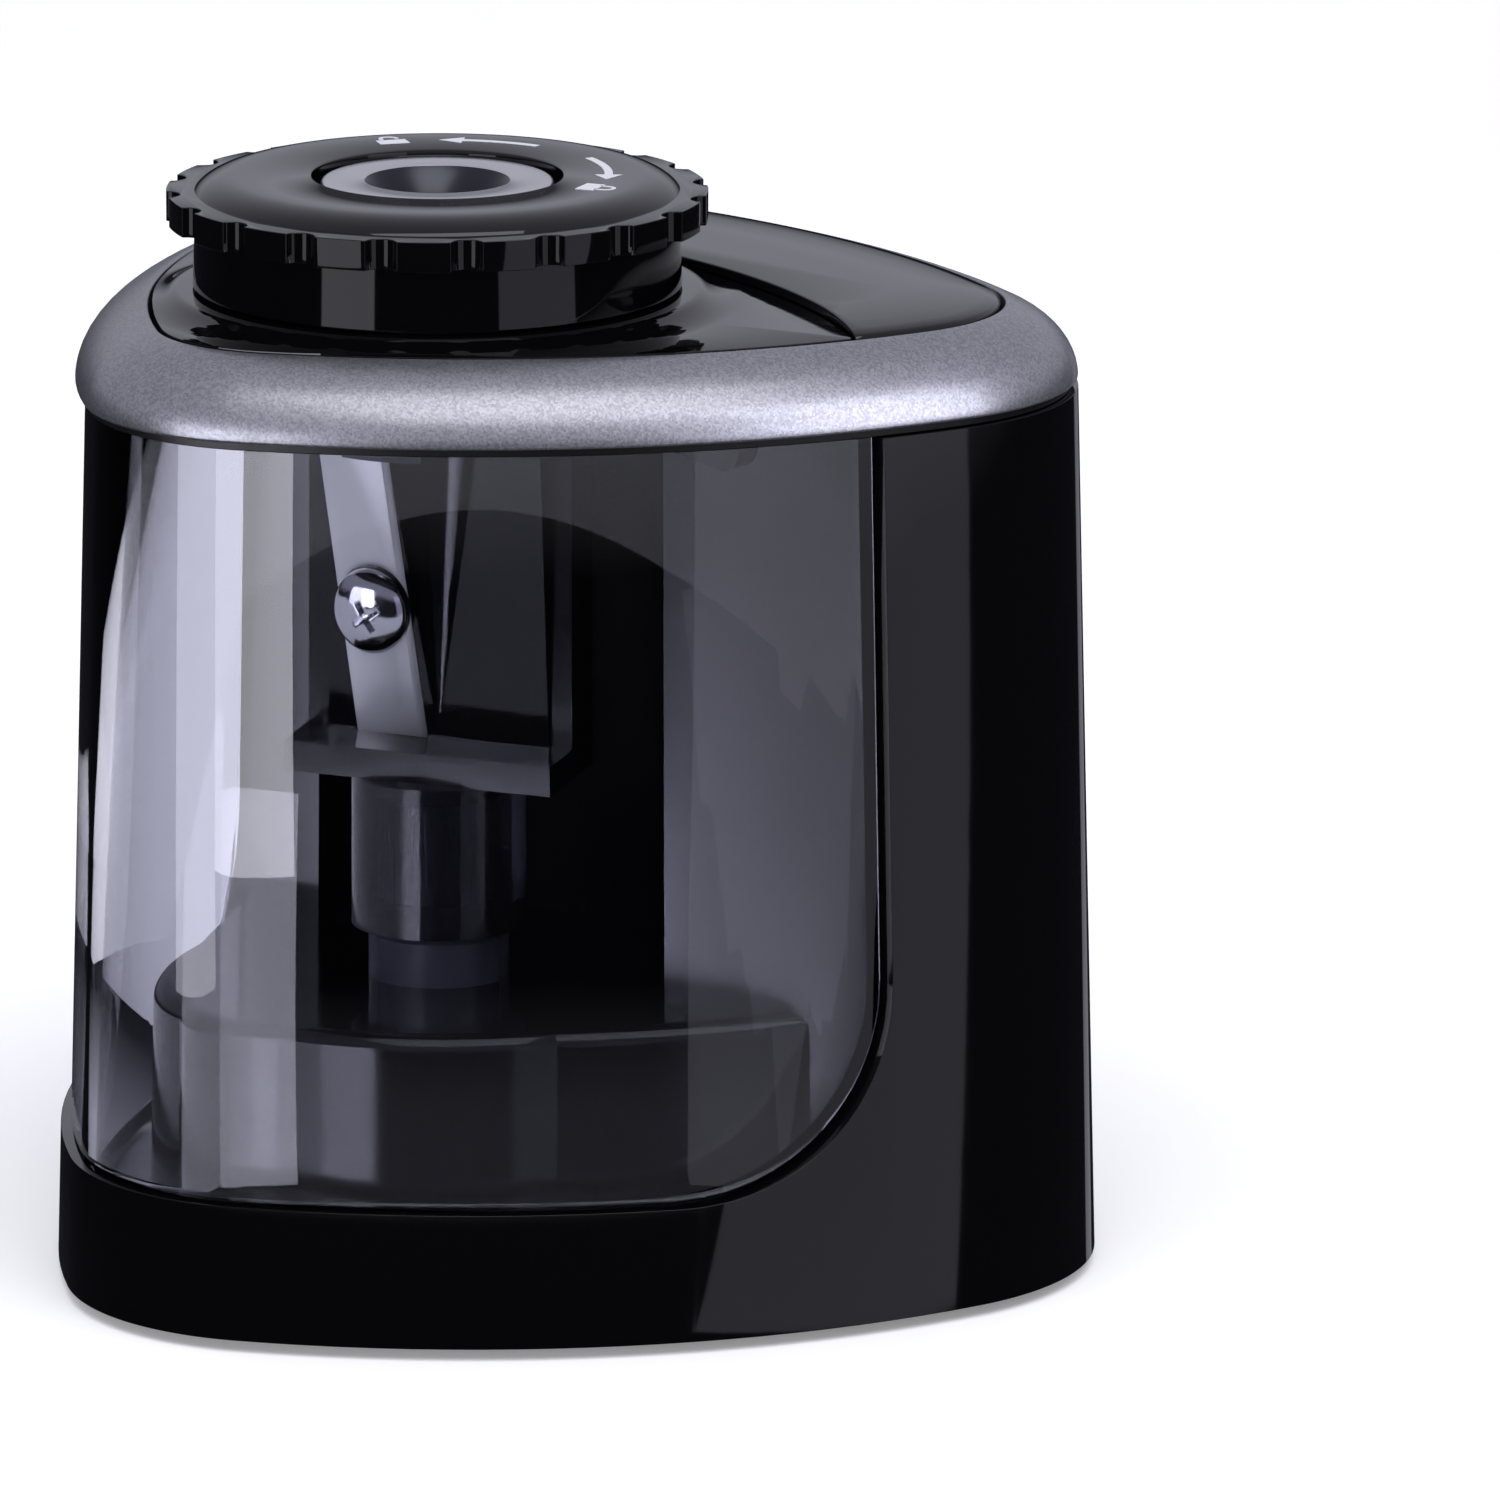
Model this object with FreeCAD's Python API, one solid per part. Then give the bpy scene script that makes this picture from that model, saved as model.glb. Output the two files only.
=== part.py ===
"""Battery pencil sharpener: a rounded-triangle housing with a clear window round its nose.

All sizes are millimetres. +Z is up, -Y is the nose with the window, and the origin is the centre
of the footprint at the height that the feet rest on.
"""
import FreeCAD
import Part
import math
import os

V = FreeCAD.Vector
UP = V(0, 0, 1)

# --- footprint: one mirrored set of tangent arcs -------------------------------------------------
HALF_DEPTH = 37.1         # nose tip and back, each side of the origin
NOSE_R = 17.3
SIDE_R = 66.0
CORNER_R = 19.8
CORNER_X = 19.65
BACK_R = 77.5
DRAFT = math.radians(1.65)   # the walls lean inwards as they rise

# --- heights ---------------------------------------------------------------------------------------
WALL_FOOT_Z = 0.9
RIM_Z = 10.7              # top of the base rim, where the window starts
DECK_Z = 22.5             # top of the gearbox inside the window
WALL_TOP_Z = 65.3
BAND_Z = 65.9
FRAME_Z = 65.4            # underside of the plate that carries the top covers
FRAME_T = 2.9
FLANGE_T = 0.45           # the plate's thin edge, which closes the band from below
KEEPER_Z = 63.95          # underside of the ring that holds the knob's lugs
KEEPER_R = 17.0
COVER_Z = 71.4            # top face of the front cover
COVER_T = 2.0
COLLAR_Z = 72.3
KNOB_Z = 80.5

# --- walls and gaps --------------------------------------------------------------------------------
WALL = 2.0
WINDOW_T = 1.8
WINDOW_INSET = 0.75       # the window stands this far inside the base rim
DECK_INSET = 8.6
DECK_WALL = 1.6
DECK_ROUND = 1.2
SEAM_GAP = 0.4
SEAM_Y = 3.75             # where the window ends and the rear housing begins
SEAM_CORNER_R = 15.0

# --- trim band and top covers ----------------------------------------------------------------------
BAND_W = 5.3
BAND_H = COVER_Z - BAND_Z
BAND_TURN = math.radians(70)     # how far round its ellipse the band's section turns
BAND_T = 1.8
COVER_GAP = 0.3
COVER_INSET = 0.3         # clearance between the band's inner edge and the covers
LID_SEAM_R = 59.4
LID_SEAM_Y = -45.3
LID_CROWN = 0.7

# --- knob and pencil bushing -----------------------------------------------------------------------
AXIS_Y = -6.4             # the cutter, the knob and the pencil hole share this axis
LOBES = 20
LOBE_PEAK_R = 19.45
LOBE_VALLEY_R = 18.15
LOBE_Z = (77.2, 79.5)
SKIRT_R = 17.6
SKIRT_Z = 72.6
KNOB_TOP_R = 17.3
KNOB_SHOULDER = 1.0
KNOB_ROOF_Z = 77.2
BUSHING_DISC_R = 8.4
BUSHING_R = 6.0
BUSHING_Z = (65.0, 80.1)
PENCIL_R = 4.0
FUNNEL_R = 5.3
RING_NECK_R = 13.1
RING_LUG_R = 14.6
RING_BORE_R = 11.6
RING_LUG_Z = (61.2, 63.8)
RING_START = -70.0        # degrees from +X where the first lug begins
RING_SWEEP = 95.0
KNOB_TURN = 45.0          # the knob turns this far to free its lugs
NECK_HOLE_R = 13.4

# --- cutter ----------------------------------------------------------------------------------------
CUTTER_TURN = 27.2        # degrees that the cutter's open face stands from the nose at rest
COUPLING_R = 6.35
COUPLING_Z = (26.0, 36.2)
BUSH_R = 5.1
BUSH_TOP_Z = 25.8
SHAFT_R = 3.0
SHAFT_Z = (8.4, 34.5)
FRAME_HALF_X = 10.2
CUTTER_TOP_Z = 64.3
CONE_TIP_Z = 39.6
CONE_TOP_Z = 58.0
BLADE = (5.2, 0.5, 22.0)  # width, thickness, length
BLADE_EDGE = V(-2.1, -0.87, 47.8)  # middle of the cutting edge, from the axis
BLADE_TILT = 7.5
BLADE_LEAN = 4.8
BLADE_SCREW_Z = -0.9  # below the middle of the blade
FRAME_BAR = 2.0
SCREW_HEAD_R = 2.85
SCREW_R = 1.5

# --- gear train ------------------------------------------------------------------------------------
MODULE = 0.5
ADDENDUM = 0.8 * MODULE
DEDENDUM = 1.2 * MODULE
BACKLASH = 0.12
PRESSURE = math.radians(20)
OUTPUT_TEETH = 54
IDLER_SMALL_TEETH = 14
IDLER_LARGE_TEETH = 36
PINION_TEETH = 12
IDLER_Y = AXIS_Y + MODULE * (OUTPUT_TEETH + IDLER_SMALL_TEETH) / 2
MOTOR_Y = IDLER_Y + MODULE * (IDLER_LARGE_TEETH + PINION_TEETH) / 2
OUTPUT_GEAR_Z = (10.9, 13.7)
IDLER_SMALL_Z = (9.2, 14.4)
IDLER_LARGE_Z = (14.4, 17.4)
PINION_Z = (14.1, 18.4)
AXLE_R = 1.5
FIT = 0.05                # radial clearance of a running fit
GEAR_PLATE_Z = (6.8, 8.6)
REAR_BOX_X = 11.4
PARTITION_R = 19.2
PARTITION_T = 1.8

# --- motor, cells and switch -----------------------------------------------------------------------
MOTOR_R = 10.05
MOTOR_HALF_DEPTH = 7.55
MOTOR_Z = (22.9, 48.0)
MOTOR_SHAFT_R = 1.0
CELL_R = 7.25
CELL_Z = (9.8, 60.3)
CELL_X = 20.2
CELL_Y = 18.6
TUBE_R = 7.5
TUBE_T = 1.1
PLATE_Z = (1.0, 3.0)
FOOT_R = 4.0
FOOT_H = 1.5
FEET = [(24.0, 20.0), (15.0, -16.0)]
SCREWS = [(30.8, 9.4), (7.5, -24.5)]
CUP_R = 5.0
CUP_Z = (6.2, 9.9)
PRESS_TRAVEL = 1.2


# --- drawing helpers -------------------------------------------------------------------------------
def unit(vector):
    return vector * (1.0 / vector.Length)


def between(centre, radius, first, second):
    """Return the three points of the short arc about centre from direction first to second."""
    middle = unit(unit(first) + unit(second))
    return [centre + unit(first) * radius, centre + middle * radius, centre + unit(second) * radius]


def mirrored(points):
    """Return the same points across the middle plane, in the opposite order."""
    return [V(-point.x, point.y, point.z) for point in reversed(points)]


def footprint(inset, z):
    """Return the closed outline of the footprint, moved inwards by inset, at height z."""
    nose = V(0, -HALF_DEPTH + NOSE_R, z)
    back = V(0, HALF_DEPTH - BACK_R, z)
    corner = V(CORNER_X, back.y + math.sqrt((BACK_R - CORNER_R) ** 2 - CORNER_X ** 2), z)
    reach = corner - nose
    to_nose = SIDE_R - NOSE_R
    to_corner = SIDE_R - CORNER_R
    along = (to_nose ** 2 - to_corner ** 2 + reach.Length ** 2) / (2 * reach.Length)
    across = math.sqrt(to_nose ** 2 - along ** 2)
    heading = unit(reach)
    side = nose + heading * along + V(-heading.y, heading.x, 0) * across

    nose_end = nose - side
    side_arc = between(side, SIDE_R - inset, nose_end, corner - side)
    corner_arc = between(corner, CORNER_R - inset, corner - side, corner - back)
    nose_tip = nose - V(0, NOSE_R - inset, 0)
    back_tip = back + V(0, BACK_R - inset, 0)
    left_side = mirrored(side_arc)
    left_corner = mirrored(corner_arc)
    arcs = [[left_side[2], nose_tip, side_arc[0]], side_arc, corner_arc,
            [corner_arc[2], back_tip, left_corner[0]], left_corner, left_side]
    return Part.Wire([Part.Arc(*arc).toShape() for arc in arcs])


def lean(z):
    """Return how far the drafted wall stands inside the footprint at height z."""
    return z * math.tan(DRAFT)


def drafted(z0, z1, inset=0.0):
    """Return a solid that follows the leaning wall, inset from its face."""
    low = footprint(lean(z0) + inset, z0)
    high = footprint(lean(z1) + inset, z1)
    return Part.makeLoft([low, high], True, True)


def upright(z0, z1, inset):
    """Return a solid with upright walls, inset from the footprint."""
    return Part.Face(footprint(inset, z0)).extrude(V(0, 0, z1 - z0))


def cylinder(radius, z0, z1, x=0.0, y=AXIS_Y):
    return Part.makeCylinder(radius, z1 - z0, V(x, y, z0))


def tube(outer, inner, z0, z1, x=0.0, y=AXIS_Y):
    return cylinder(outer, z0, z1, x, y).cut(cylinder(inner, z0 - 1, z1 + 1, x, y))


def box(x0, x1, y0, y1, z0, z1):
    return Part.makeBox(x1 - x0, y1 - y0, z1 - z0, V(x0, y0, z0))


def joined(shapes):
    return shapes[0].fuse(shapes[1:]).removeSplitter()


def revolved(points, x=0.0, y=AXIS_Y):
    """Spin a closed outline of (radius, z) points about the upright line through x, y."""
    corners = [V(x + radius, y, z) for radius, z in points]
    return Part.Face(Part.makePolygon(corners + corners[:1])).revolve(V(x, y, 0), UP, 360)


def sector(outer, inner, z0, z1, start, sweep):
    """Return a ring sector about the cutter axis; angles are degrees from +X."""
    ring = Part.makeCylinder(outer, z1 - z0, V(0, AXIS_Y, z0), UP, sweep)
    ring = ring.cut(cylinder(inner, z0 - 1, z1 + 1))
    ring.rotate(V(0, AXIS_Y, 0), UP, start)
    return ring


def pan_head(radius, height, x, y, z):
    """Return a domed screw head with a cross recess, its flat side at z and its dome above."""
    rise = height * 0.55
    ball_r = (radius ** 2 + rise ** 2) / (2 * rise)
    head = cylinder(radius, z, z + height, x, y)
    dome = Part.makeSphere(ball_r, V(x, y, z + height - ball_r))
    head = head.common(dome)
    for long_x, long_y in ((radius * 0.6, radius * 0.16), (radius * 0.16, radius * 0.6)):
        slot = box(x - long_x, x + long_x, y - long_y, y + long_y, z + height * 0.45, z + height)
        head = head.cut(slot)
    return head


def coil(radius, wire_r, z0, z1, turns, x, y):
    """Return a compression spring as one closed ring of wire for each turn."""
    rise = (z1 - z0 - 2 * wire_r) / turns
    rings = [Part.makeTorus(radius, wire_r, V(x, y, z0 + wire_r + rise * turn)) for turn in range(turns + 1)]
    return Part.makeCompound(rings)


def gear(teeth, z0, z1, y, tooth_angle):
    """Return an involute spur gear; one tooth is centred at tooth_angle degrees from +X."""
    pitch_r = MODULE * teeth / 2
    base_r = pitch_r * math.cos(PRESSURE)
    root_r = pitch_r - DEDENDUM
    tip_r = pitch_r + ADDENDUM
    at_pitch = math.pi / (2 * teeth) - BACKLASH / (4 * pitch_r) + math.tan(PRESSURE) - PRESSURE

    def half_angle(radius):
        turn = math.acos(min(1.0, base_r / radius))
        return at_pitch - (math.tan(turn) - turn)

    start_r = max(base_r, root_r)
    radii = [start_r + (tip_r - start_r) * step / 3 for step in range(4)]
    flank = [(radius, half_angle(radius)) for radius in radii]
    if root_r < base_r:
        flank.insert(0, (root_r, half_angle(base_r)))
    outline = []
    for tooth in range(teeth):
        centre = math.radians(tooth_angle) + 2 * math.pi * tooth / teeth
        side_a = [(radius, centre - angle) for radius, angle in flank]
        side_b = [(radius, centre + angle) for radius, angle in reversed(flank)]
        outline += side_a + side_b
    points = [V(r * math.cos(a), y + r * math.sin(a), z0) for r, a in outline]
    return Part.Face(Part.makePolygon(points + points[:1])).extrude(V(0, 0, z1 - z0))


# --- housing ---------------------------------------------------------------------------------------
def front_region(gap):
    """Return the block that the window fills: ahead of the seam, above the rim, corner rounded."""
    y1 = SEAM_Y - gap
    z0 = RIM_Z + gap
    radius = SEAM_CORNER_R
    turn = radius * math.sqrt(0.5)
    bend = [V(-60, y1 - radius, z0), V(-60, y1 - radius + turn, z0 + radius - turn), V(-60, y1, z0 + radius)]
    edges = [Part.LineSegment(V(-60, -60, z0), bend[0]).toShape(), Part.Arc(*bend).toShape(),
             Part.LineSegment(bend[2], V(-60, y1, 90)).toShape(),
             Part.LineSegment(V(-60, y1, 90), V(-60, -60, 90)).toShape(),
             Part.LineSegment(V(-60, -60, 90), V(-60, -60, z0)).toShape()]
    return Part.Face(Part.Wire(edges)).extrude(V(120, 0, 0))


def gearbox_plan(z0, z1, shrink):
    """Return the solid plan of the gearbox: the deck in the window, and an arm back to the motor."""
    front = upright(z0, z1, DECK_INSET + shrink).common(box(-60, 60, -60, SEAM_Y - shrink, z0, z1))
    middle = cylinder(PARTITION_R + PARTITION_T - shrink, z0, z1)
    half_x = REAR_BOX_X - shrink
    arm = box(-half_x, half_x, AXIS_Y, MOTOR_Y + 8.6 - shrink, z0, z1)
    return joined([front, middle, arm])


def partition():
    """Return the wall behind the cutter: a hollow curve, with flat wings out to the window."""
    top = FRAME_Z
    curve = tube(PARTITION_R + PARTITION_T, PARTITION_R, RIM_Z - 0.5, top)
    corner_y = AXIS_Y + 4.8
    curve = curve.common(box(-40, 40, corner_y, 40, 0, top))
    corner_x = math.sqrt(PARTITION_R ** 2 - 4.8 ** 2)
    wings = []
    bend_x = 31.5
    front_y = SEAM_Y + SEAM_GAP
    path = [(corner_x, corner_y), (bend_x, front_y), (40, front_y),
            (40, front_y + PARTITION_T), (bend_x, front_y + PARTITION_T), (corner_x, corner_y + PARTITION_T)]
    for side in (1, -1):
        corners = [V(side * x, y, RIM_Z - 0.5) for x, y in path]
        wing = Part.Face(Part.makePolygon(corners + corners[:1])).extrude(V(0, 0, top - RIM_Z + 0.5))
        wings.append(wing)
    wall = joined([curve] + wings)
    wall = wall.common(drafted(RIM_Z - 1, WALL_TOP_Z, WALL / 2))
    return wall.cut(gearbox_plan(0, DECK_Z, 0))


def screw_boss(x, y):
    return tube(3.2, 1.25, PLATE_Z[1], 16.0 if y > 0 else GEAR_PLATE_Z[0], x, y)


def housing_shell():
    wall = drafted(WALL_FOOT_Z, WALL_TOP_Z).cut(drafted(WALL_FOOT_Z - 1, WALL_TOP_Z + 1, WALL))
    wall = wall.cut(front_region(0))
    floor = drafted(RIM_Z - 2.0, RIM_Z - 0.5, WALL / 2).common(box(-60, 60, -60, SEAM_Y + 2, 0, 90))
    floor = floor.cut(gearbox_plan(0, DECK_Z, 0))
    x, y = SCREWS[0]
    bosses = [screw_boss(side * x, y) for side in (1, -1)]
    webs = [box(min(side * x, side * 39), max(side * x, side * 39), y - 1, y + 1, 4, 16) for side in (1, -1)]
    webs = [web.common(drafted(3, 17, WALL / 2)).cut(cylinder(2.2, 0, 20, side * x, y))
            for web, side in zip(webs, (1, -1))]
    return joined([wall, floor, partition()] + bosses + webs)


def gear_deck():
    outer = gearbox_plan(GEAR_PLATE_Z[1], DECK_Z, 0)
    inner = gearbox_plan(GEAR_PLATE_Z[1] - 1, DECK_Z - DECK_WALL, DECK_WALL)
    brow = [edge for edge in outer.Edges if edge.BoundBox.ZMin > DECK_Z - 0.01]
    deck = outer.makeFillet(DECK_ROUND, brow).cut(inner)
    deck = deck.cut(cylinder(BUSH_R - 1.0, 0, 90))
    deck = deck.cut(cylinder(3.4, 0, 90, 0, MOTOR_Y))
    axle_seat = tube(3.0, AXLE_R, 18.4, DECK_Z - DECK_WALL + 0.1, 0, IDLER_Y)
    return joined([deck, axle_seat])


def gear_plate():
    plate = gearbox_plan(GEAR_PLATE_Z[0], GEAR_PLATE_Z[1], 0)
    plate = plate.cut(cylinder(CUP_R + FIT, 0, 90))
    plate = plate.cut(cylinder(AXLE_R, 0, 90, 0, IDLER_Y))
    x, y = SCREWS[1]
    for side in (1, -1):
        plate = plate.cut(cylinder(1.25, 0, 90, side * x, y))
        plate = plate.fuse(tube(2.8, 1.25, PLATE_Z[1], GEAR_PLATE_Z[0], side * x, y))
    return plate.removeSplitter()


def base_plate():
    plate = upright(PLATE_Z[0], PLATE_Z[1], WALL + 0.25)
    for side in (1, -1):
        for x, y in FEET:
            plate = plate.cut(cylinder(FOOT_R, 0, FOOT_H, side * x, y))
        for x, y in SCREWS:
            plate = plate.cut(cylinder(1.6, 0, 9, side * x, y)).cut(cylinder(3.1, 0, 2.2, side * x, y))
    return plate


def foot(x, y):
    pad = cylinder(FOOT_R, 0, FOOT_H, x, y)
    rim = [edge for edge in pad.Edges if edge.BoundBox.ZMax < 0.01]
    return pad.makeChamfer(0.3, rim)


def base_screw(x, y):
    head = pan_head(2.8, 1.0, x, y, 0)
    head.rotate(V(x, y, 0), V(1, 0, 0), 180)
    head.translate(V(0, 0, 2.2))
    return joined([head, cylinder(1.25, 2.1, 8.4 if y < 0 else 12.0, x, y)])


def shaft_bush():
    collar = revolved([(SHAFT_R + FIT, DECK_Z - 2.4), (BUSH_R - 1.0, DECK_Z - 2.4), (BUSH_R - 1.0, DECK_Z),
                       (BUSH_R, DECK_Z), (BUSH_R, BUSH_TOP_Z - 0.4), (BUSH_R - 0.4, BUSH_TOP_Z),
                       (SHAFT_R + FIT, BUSH_TOP_Z)])
    return collar


# --- top: band, plate and covers ---------------------------------------------------------------------
def band_curve(width, height, z0, inset0, steps=6):
    """Return the dome whose edge section is a quarter ellipse cut short before it lies flat."""
    reach = width / (1 - math.cos(BAND_TURN))
    rise = height / math.sin(BAND_TURN)
    wires = []
    for step in range(steps + 1):
        turn = BAND_TURN * step / steps
        wires.append(footprint(inset0 + reach * (1 - math.cos(turn)), z0 + rise * math.sin(turn)))
    return Part.makeLoft(wires, True, False)


def trim_band():
    start = lean(BAND_Z)
    outside = band_curve(BAND_W, BAND_H, BAND_Z, start)
    inside = band_curve(BAND_W, BAND_H - BAND_T, BAND_Z - 0.01, start + BAND_T)
    hole = upright(BAND_Z - 1, COVER_Z + 1, start + BAND_W)
    return outside.cut(inside).cut(hole)


def rear_region(gap, z0, z1):
    """Return the block behind the seam between the front cover and the battery lid."""
    return box(-60, 60, -60, 60, z0, z1).cut(cylinder(LID_SEAM_R + gap, z0 - 1, z1 + 1, 0, LID_SEAM_Y))


def catch(side):
    """Return the round-cornered tab that hangs beside the cutter and steadies the window."""
    near, far = sorted((side * 18.0, side * 28.5))
    drop_z = FRAME_Z - 3.2
    tab = box(near, far, -3.8, -1.9, drop_z, FRAME_Z)
    corners = [edge for edge in tab.Edges
               if edge.BoundBox.YLength > 1 and edge.BoundBox.ZMax < drop_z + 0.1]
    return tab.makeFillet(2.0, corners)


def top_frame():
    """Return the plate under the covers, with the knob's hole and the hatch over the cells."""
    edge = lean(BAND_Z)
    plate = upright(FRAME_Z, FRAME_Z + FRAME_T, edge + BAND_T + 2.0)
    flange = upright(FRAME_Z, FRAME_Z + FLANGE_T, edge + 0.5)
    keeper = cylinder(KEEPER_R, KEEPER_Z, FRAME_Z)
    ledge = upright(FRAME_Z, COVER_Z - COVER_T, edge + BAND_W + 1.2)
    ledge = ledge.cut(upright(FRAME_Z - 1, COVER_Z, edge + BAND_W + 3.2))
    hatch = upright(FRAME_Z - 1, 90, edge + BAND_W + 3.2).common(rear_region(2.0, FRAME_Z - 1, 90))
    wells = [cylinder(TUBE_R + 0.05, 60, 90, side * CELL_X, CELL_Y) for side in (1, -1)]
    plate = plate.fuse([ledge, flange, keeper]).cut([hatch] + wells).cut(cylinder(NECK_HOLE_R, 60, 90))
    for turn in (0, 180):
        notch = sector(RING_LUG_R + 0.3, NECK_HOLE_R - 1, KEEPER_Z - 1, 90,
                       RING_START + KNOB_TURN + turn - 1, RING_SWEEP + 2)
        plate = plate.cut(notch)
    catches = [catch(side) for side in (1, -1)]
    return joined([plate] + catches)


def front_cover():
    edge = lean(BAND_Z) + BAND_W + COVER_INSET
    plate = upright(COVER_Z - COVER_T, COVER_Z, edge)
    plate = plate.cut(rear_region(-COVER_GAP / 2, 60, 90))
    collar = revolved([(RING_LUG_R + 0.6, COVER_Z - COVER_T), (19.9, COVER_Z - COVER_T), (19.9, COVER_Z),
                       (19.3, COVER_Z + 0.3), (19.0, COLLAR_Z - 0.2), (18.7, COLLAR_Z),
                       (RING_LUG_R + 0.6, COLLAR_Z)])
    plate = plate.cut(cylinder(RING_LUG_R + 0.6, 60, 90))
    return joined([plate, collar])


def battery_lid():
    edge = lean(BAND_Z) + BAND_W + COVER_INSET
    rings = [footprint(edge, COVER_Z - COVER_T), footprint(edge, COVER_Z - 0.2),
             footprint(edge + 0.5, COVER_Z + 0.1), footprint(edge + 3.0, COVER_Z + LID_CROWN * 0.7),
             footprint(edge + 8.0, COVER_Z + LID_CROWN)]
    layers = [Part.makeLoft(rings[index:index + 2], True, True) for index in range(len(rings) - 1)]
    lid = joined(layers).common(rear_region(COVER_GAP / 2, 60, 90))
    posts = [cylinder(2.5, CELL_Z[1] + 0.6, COVER_Z - COVER_T + 0.1, side * CELL_X, CELL_Y) for side in (1, -1)]
    return joined([lid] + posts)


def contact_bridge():
    return box(-CELL_X - 2.5, CELL_X + 2.5, CELL_Y - 1.6, CELL_Y + 3, CELL_Z[1] + 0.1, CELL_Z[1] + 0.6)


# --- window ------------------------------------------------------------------------------------------
def window():
    outer = drafted(RIM_Z - 1, WALL_TOP_Z, WINDOW_INSET)
    shell = outer.cut(drafted(RIM_Z - 2, WALL_TOP_Z + 1, WINDOW_INSET + WINDOW_T))
    shell = shell.common(front_region(SEAM_GAP))
    runners = []
    inner = upright(RIM_Z, RIM_Z + 3.0, lean(RIM_Z) + WINDOW_INSET + WINDOW_T / 2)
    for side in (1, -1):
        strip = box(min(side * 27.6, side * 40), max(side * 27.6, side * 40), -22, -9, RIM_Z + SEAM_GAP, RIM_Z + 2.0)
        runners.append(strip.common(inner))
    return joined([shell] + runners)


# --- knob --------------------------------------------------------------------------------------------
def lobed_ring():
    """Return the finger grip: a disc whose edge is a row of tangent lobes."""
    edges = []
    step = 2 * math.pi / LOBES

    def at(radius, angle):
        return V(radius * math.cos(angle), AXIS_Y + radius * math.sin(angle), LOBE_Z[0])

    for lobe in range(LOBES):
        angle = lobe * step
        arc = Part.Arc(at(LOBE_VALLEY_R, angle - step / 2), at(LOBE_PEAK_R, angle),
                       at(LOBE_VALLEY_R, angle + step / 2))
        edges.append(arc.toShape())
    return Part.Face(Part.Wire(edges)).extrude(V(0, 0, LOBE_Z[1] - LOBE_Z[0]))


def turn_knob():
    side = KNOB_TOP_R - KNOB_SHOULDER
    body = revolved([(0, KNOB_ROOF_Z), (SKIRT_R - 1.8, KNOB_ROOF_Z), (SKIRT_R - 1.8, SKIRT_Z), (SKIRT_R, SKIRT_Z),
                     (SKIRT_R - 0.2, LOBE_Z[0]), (KNOB_TOP_R, LOBE_Z[1]), (KNOB_TOP_R - 0.3, LOBE_Z[1] + 0.7),
                     (side, KNOB_Z), (0, KNOB_Z)])
    knob = joined([body, lobed_ring()])
    knob = knob.cut(cylinder(BUSHING_R, 60, 90))
    return knob.cut(cylinder(BUSHING_DISC_R + 0.9, KNOB_Z - 1.9, 90))


def pencil_bushing():
    low, high = BUSHING_Z
    return revolved([(PENCIL_R, low), (BUSHING_R - 0.6, low), (BUSHING_R, low + 0.6), (BUSHING_R, KNOB_Z - 1.9),
                     (BUSHING_DISC_R, KNOB_Z - 1.9), (BUSHING_DISC_R, high - 0.4), (BUSHING_DISC_R - 0.4, high),
                     (FUNNEL_R, high), (PENCIL_R, high - 2.0)])


def bayonet_ring():
    neck = tube(RING_NECK_R, RING_BORE_R, RING_LUG_Z[0], KNOB_ROOF_Z)
    low, high = RING_LUG_Z
    lugs = []
    for turn in (0, 180):
        start = RING_START + turn
        lugs.append(sector(RING_LUG_R, RING_BORE_R, low + 0.8, high, start, RING_SWEEP))
        lugs.append(sector(RING_LUG_R, RING_BORE_R, low, high, start, 23))
    return joined([neck] + lugs)


# --- cutter: drawn facing the nose, then turned ------------------------------------------------------
def turned(shape):
    shape.rotate(V(0, AXIS_Y, 0), UP, CUTTER_TURN)
    return shape


def leaned(shape):
    """Tilt a shape drawn about the cutting edge's middle, and put it in its place."""
    shape.rotate(V(0, 0, 0), V(0, 1, 0), -BLADE_TILT)
    shape.rotate(V(0, 0, 0), V(1, 0, 0), BLADE_LEAN)
    shape.translate(BLADE_EDGE + V(0, AXIS_Y, 0))
    return shape


def coupling():
    low, high = COUPLING_Z
    body = revolved([(SHAFT_R, low + 1.8), (5.45, low + 1.8), (5.45, low), (COUPLING_R, low),
                     (COUPLING_R, high), (SHAFT_R, high)])
    return body


def cutter_frame():
    depth = 4.6
    low = COUPLING_Z[1]
    bar = box(-FRAME_HALF_X, FRAME_HALF_X, AXIS_Y - depth, AXIS_Y + depth, low, low + FRAME_BAR)
    pillars = [box(min(side * 8.6, side * FRAME_HALF_X), max(side * 8.6, side * FRAME_HALF_X),
                   AXIS_Y + 0.2, AXIS_Y + depth, low, CUTTER_TOP_Z) for side in (1, -1)]
    ring = tube(FRAME_HALF_X, PENCIL_R + 0.6, CUTTER_TOP_Z - 1.7, CUTTER_TOP_Z)
    width, thick, length = BLADE
    slot = leaned(box(-width - 0.2, 0.2, -thick - 0.2, 0.2, -length / 2 - 0.2, length / 2 + 0.2))
    return turned(joined([bar] + pillars + [ring]).cut(slot))


def sharpener_body():
    low = COUPLING_Z[1] + FRAME_BAR
    high = CUTTER_TOP_Z - 1.7
    block = box(-8.5, 8.5, AXIS_Y - 6.5, AXIS_Y + 5.6, low, high)
    cone = Part.makeCone(0.3, PENCIL_R, CONE_TOP_Z - CONE_TIP_Z, V(0, AXIS_Y, CONE_TIP_Z))
    bore = cone.fuse(cylinder(PENCIL_R + 0.1, CONE_TOP_Z, high + 1))
    air = leaned(box(-30, 30, -20, 0, -30, 30))
    body = block.cut(air).cut(bore)
    return turned(body.cut(screw_shank(0.0)))


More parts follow.
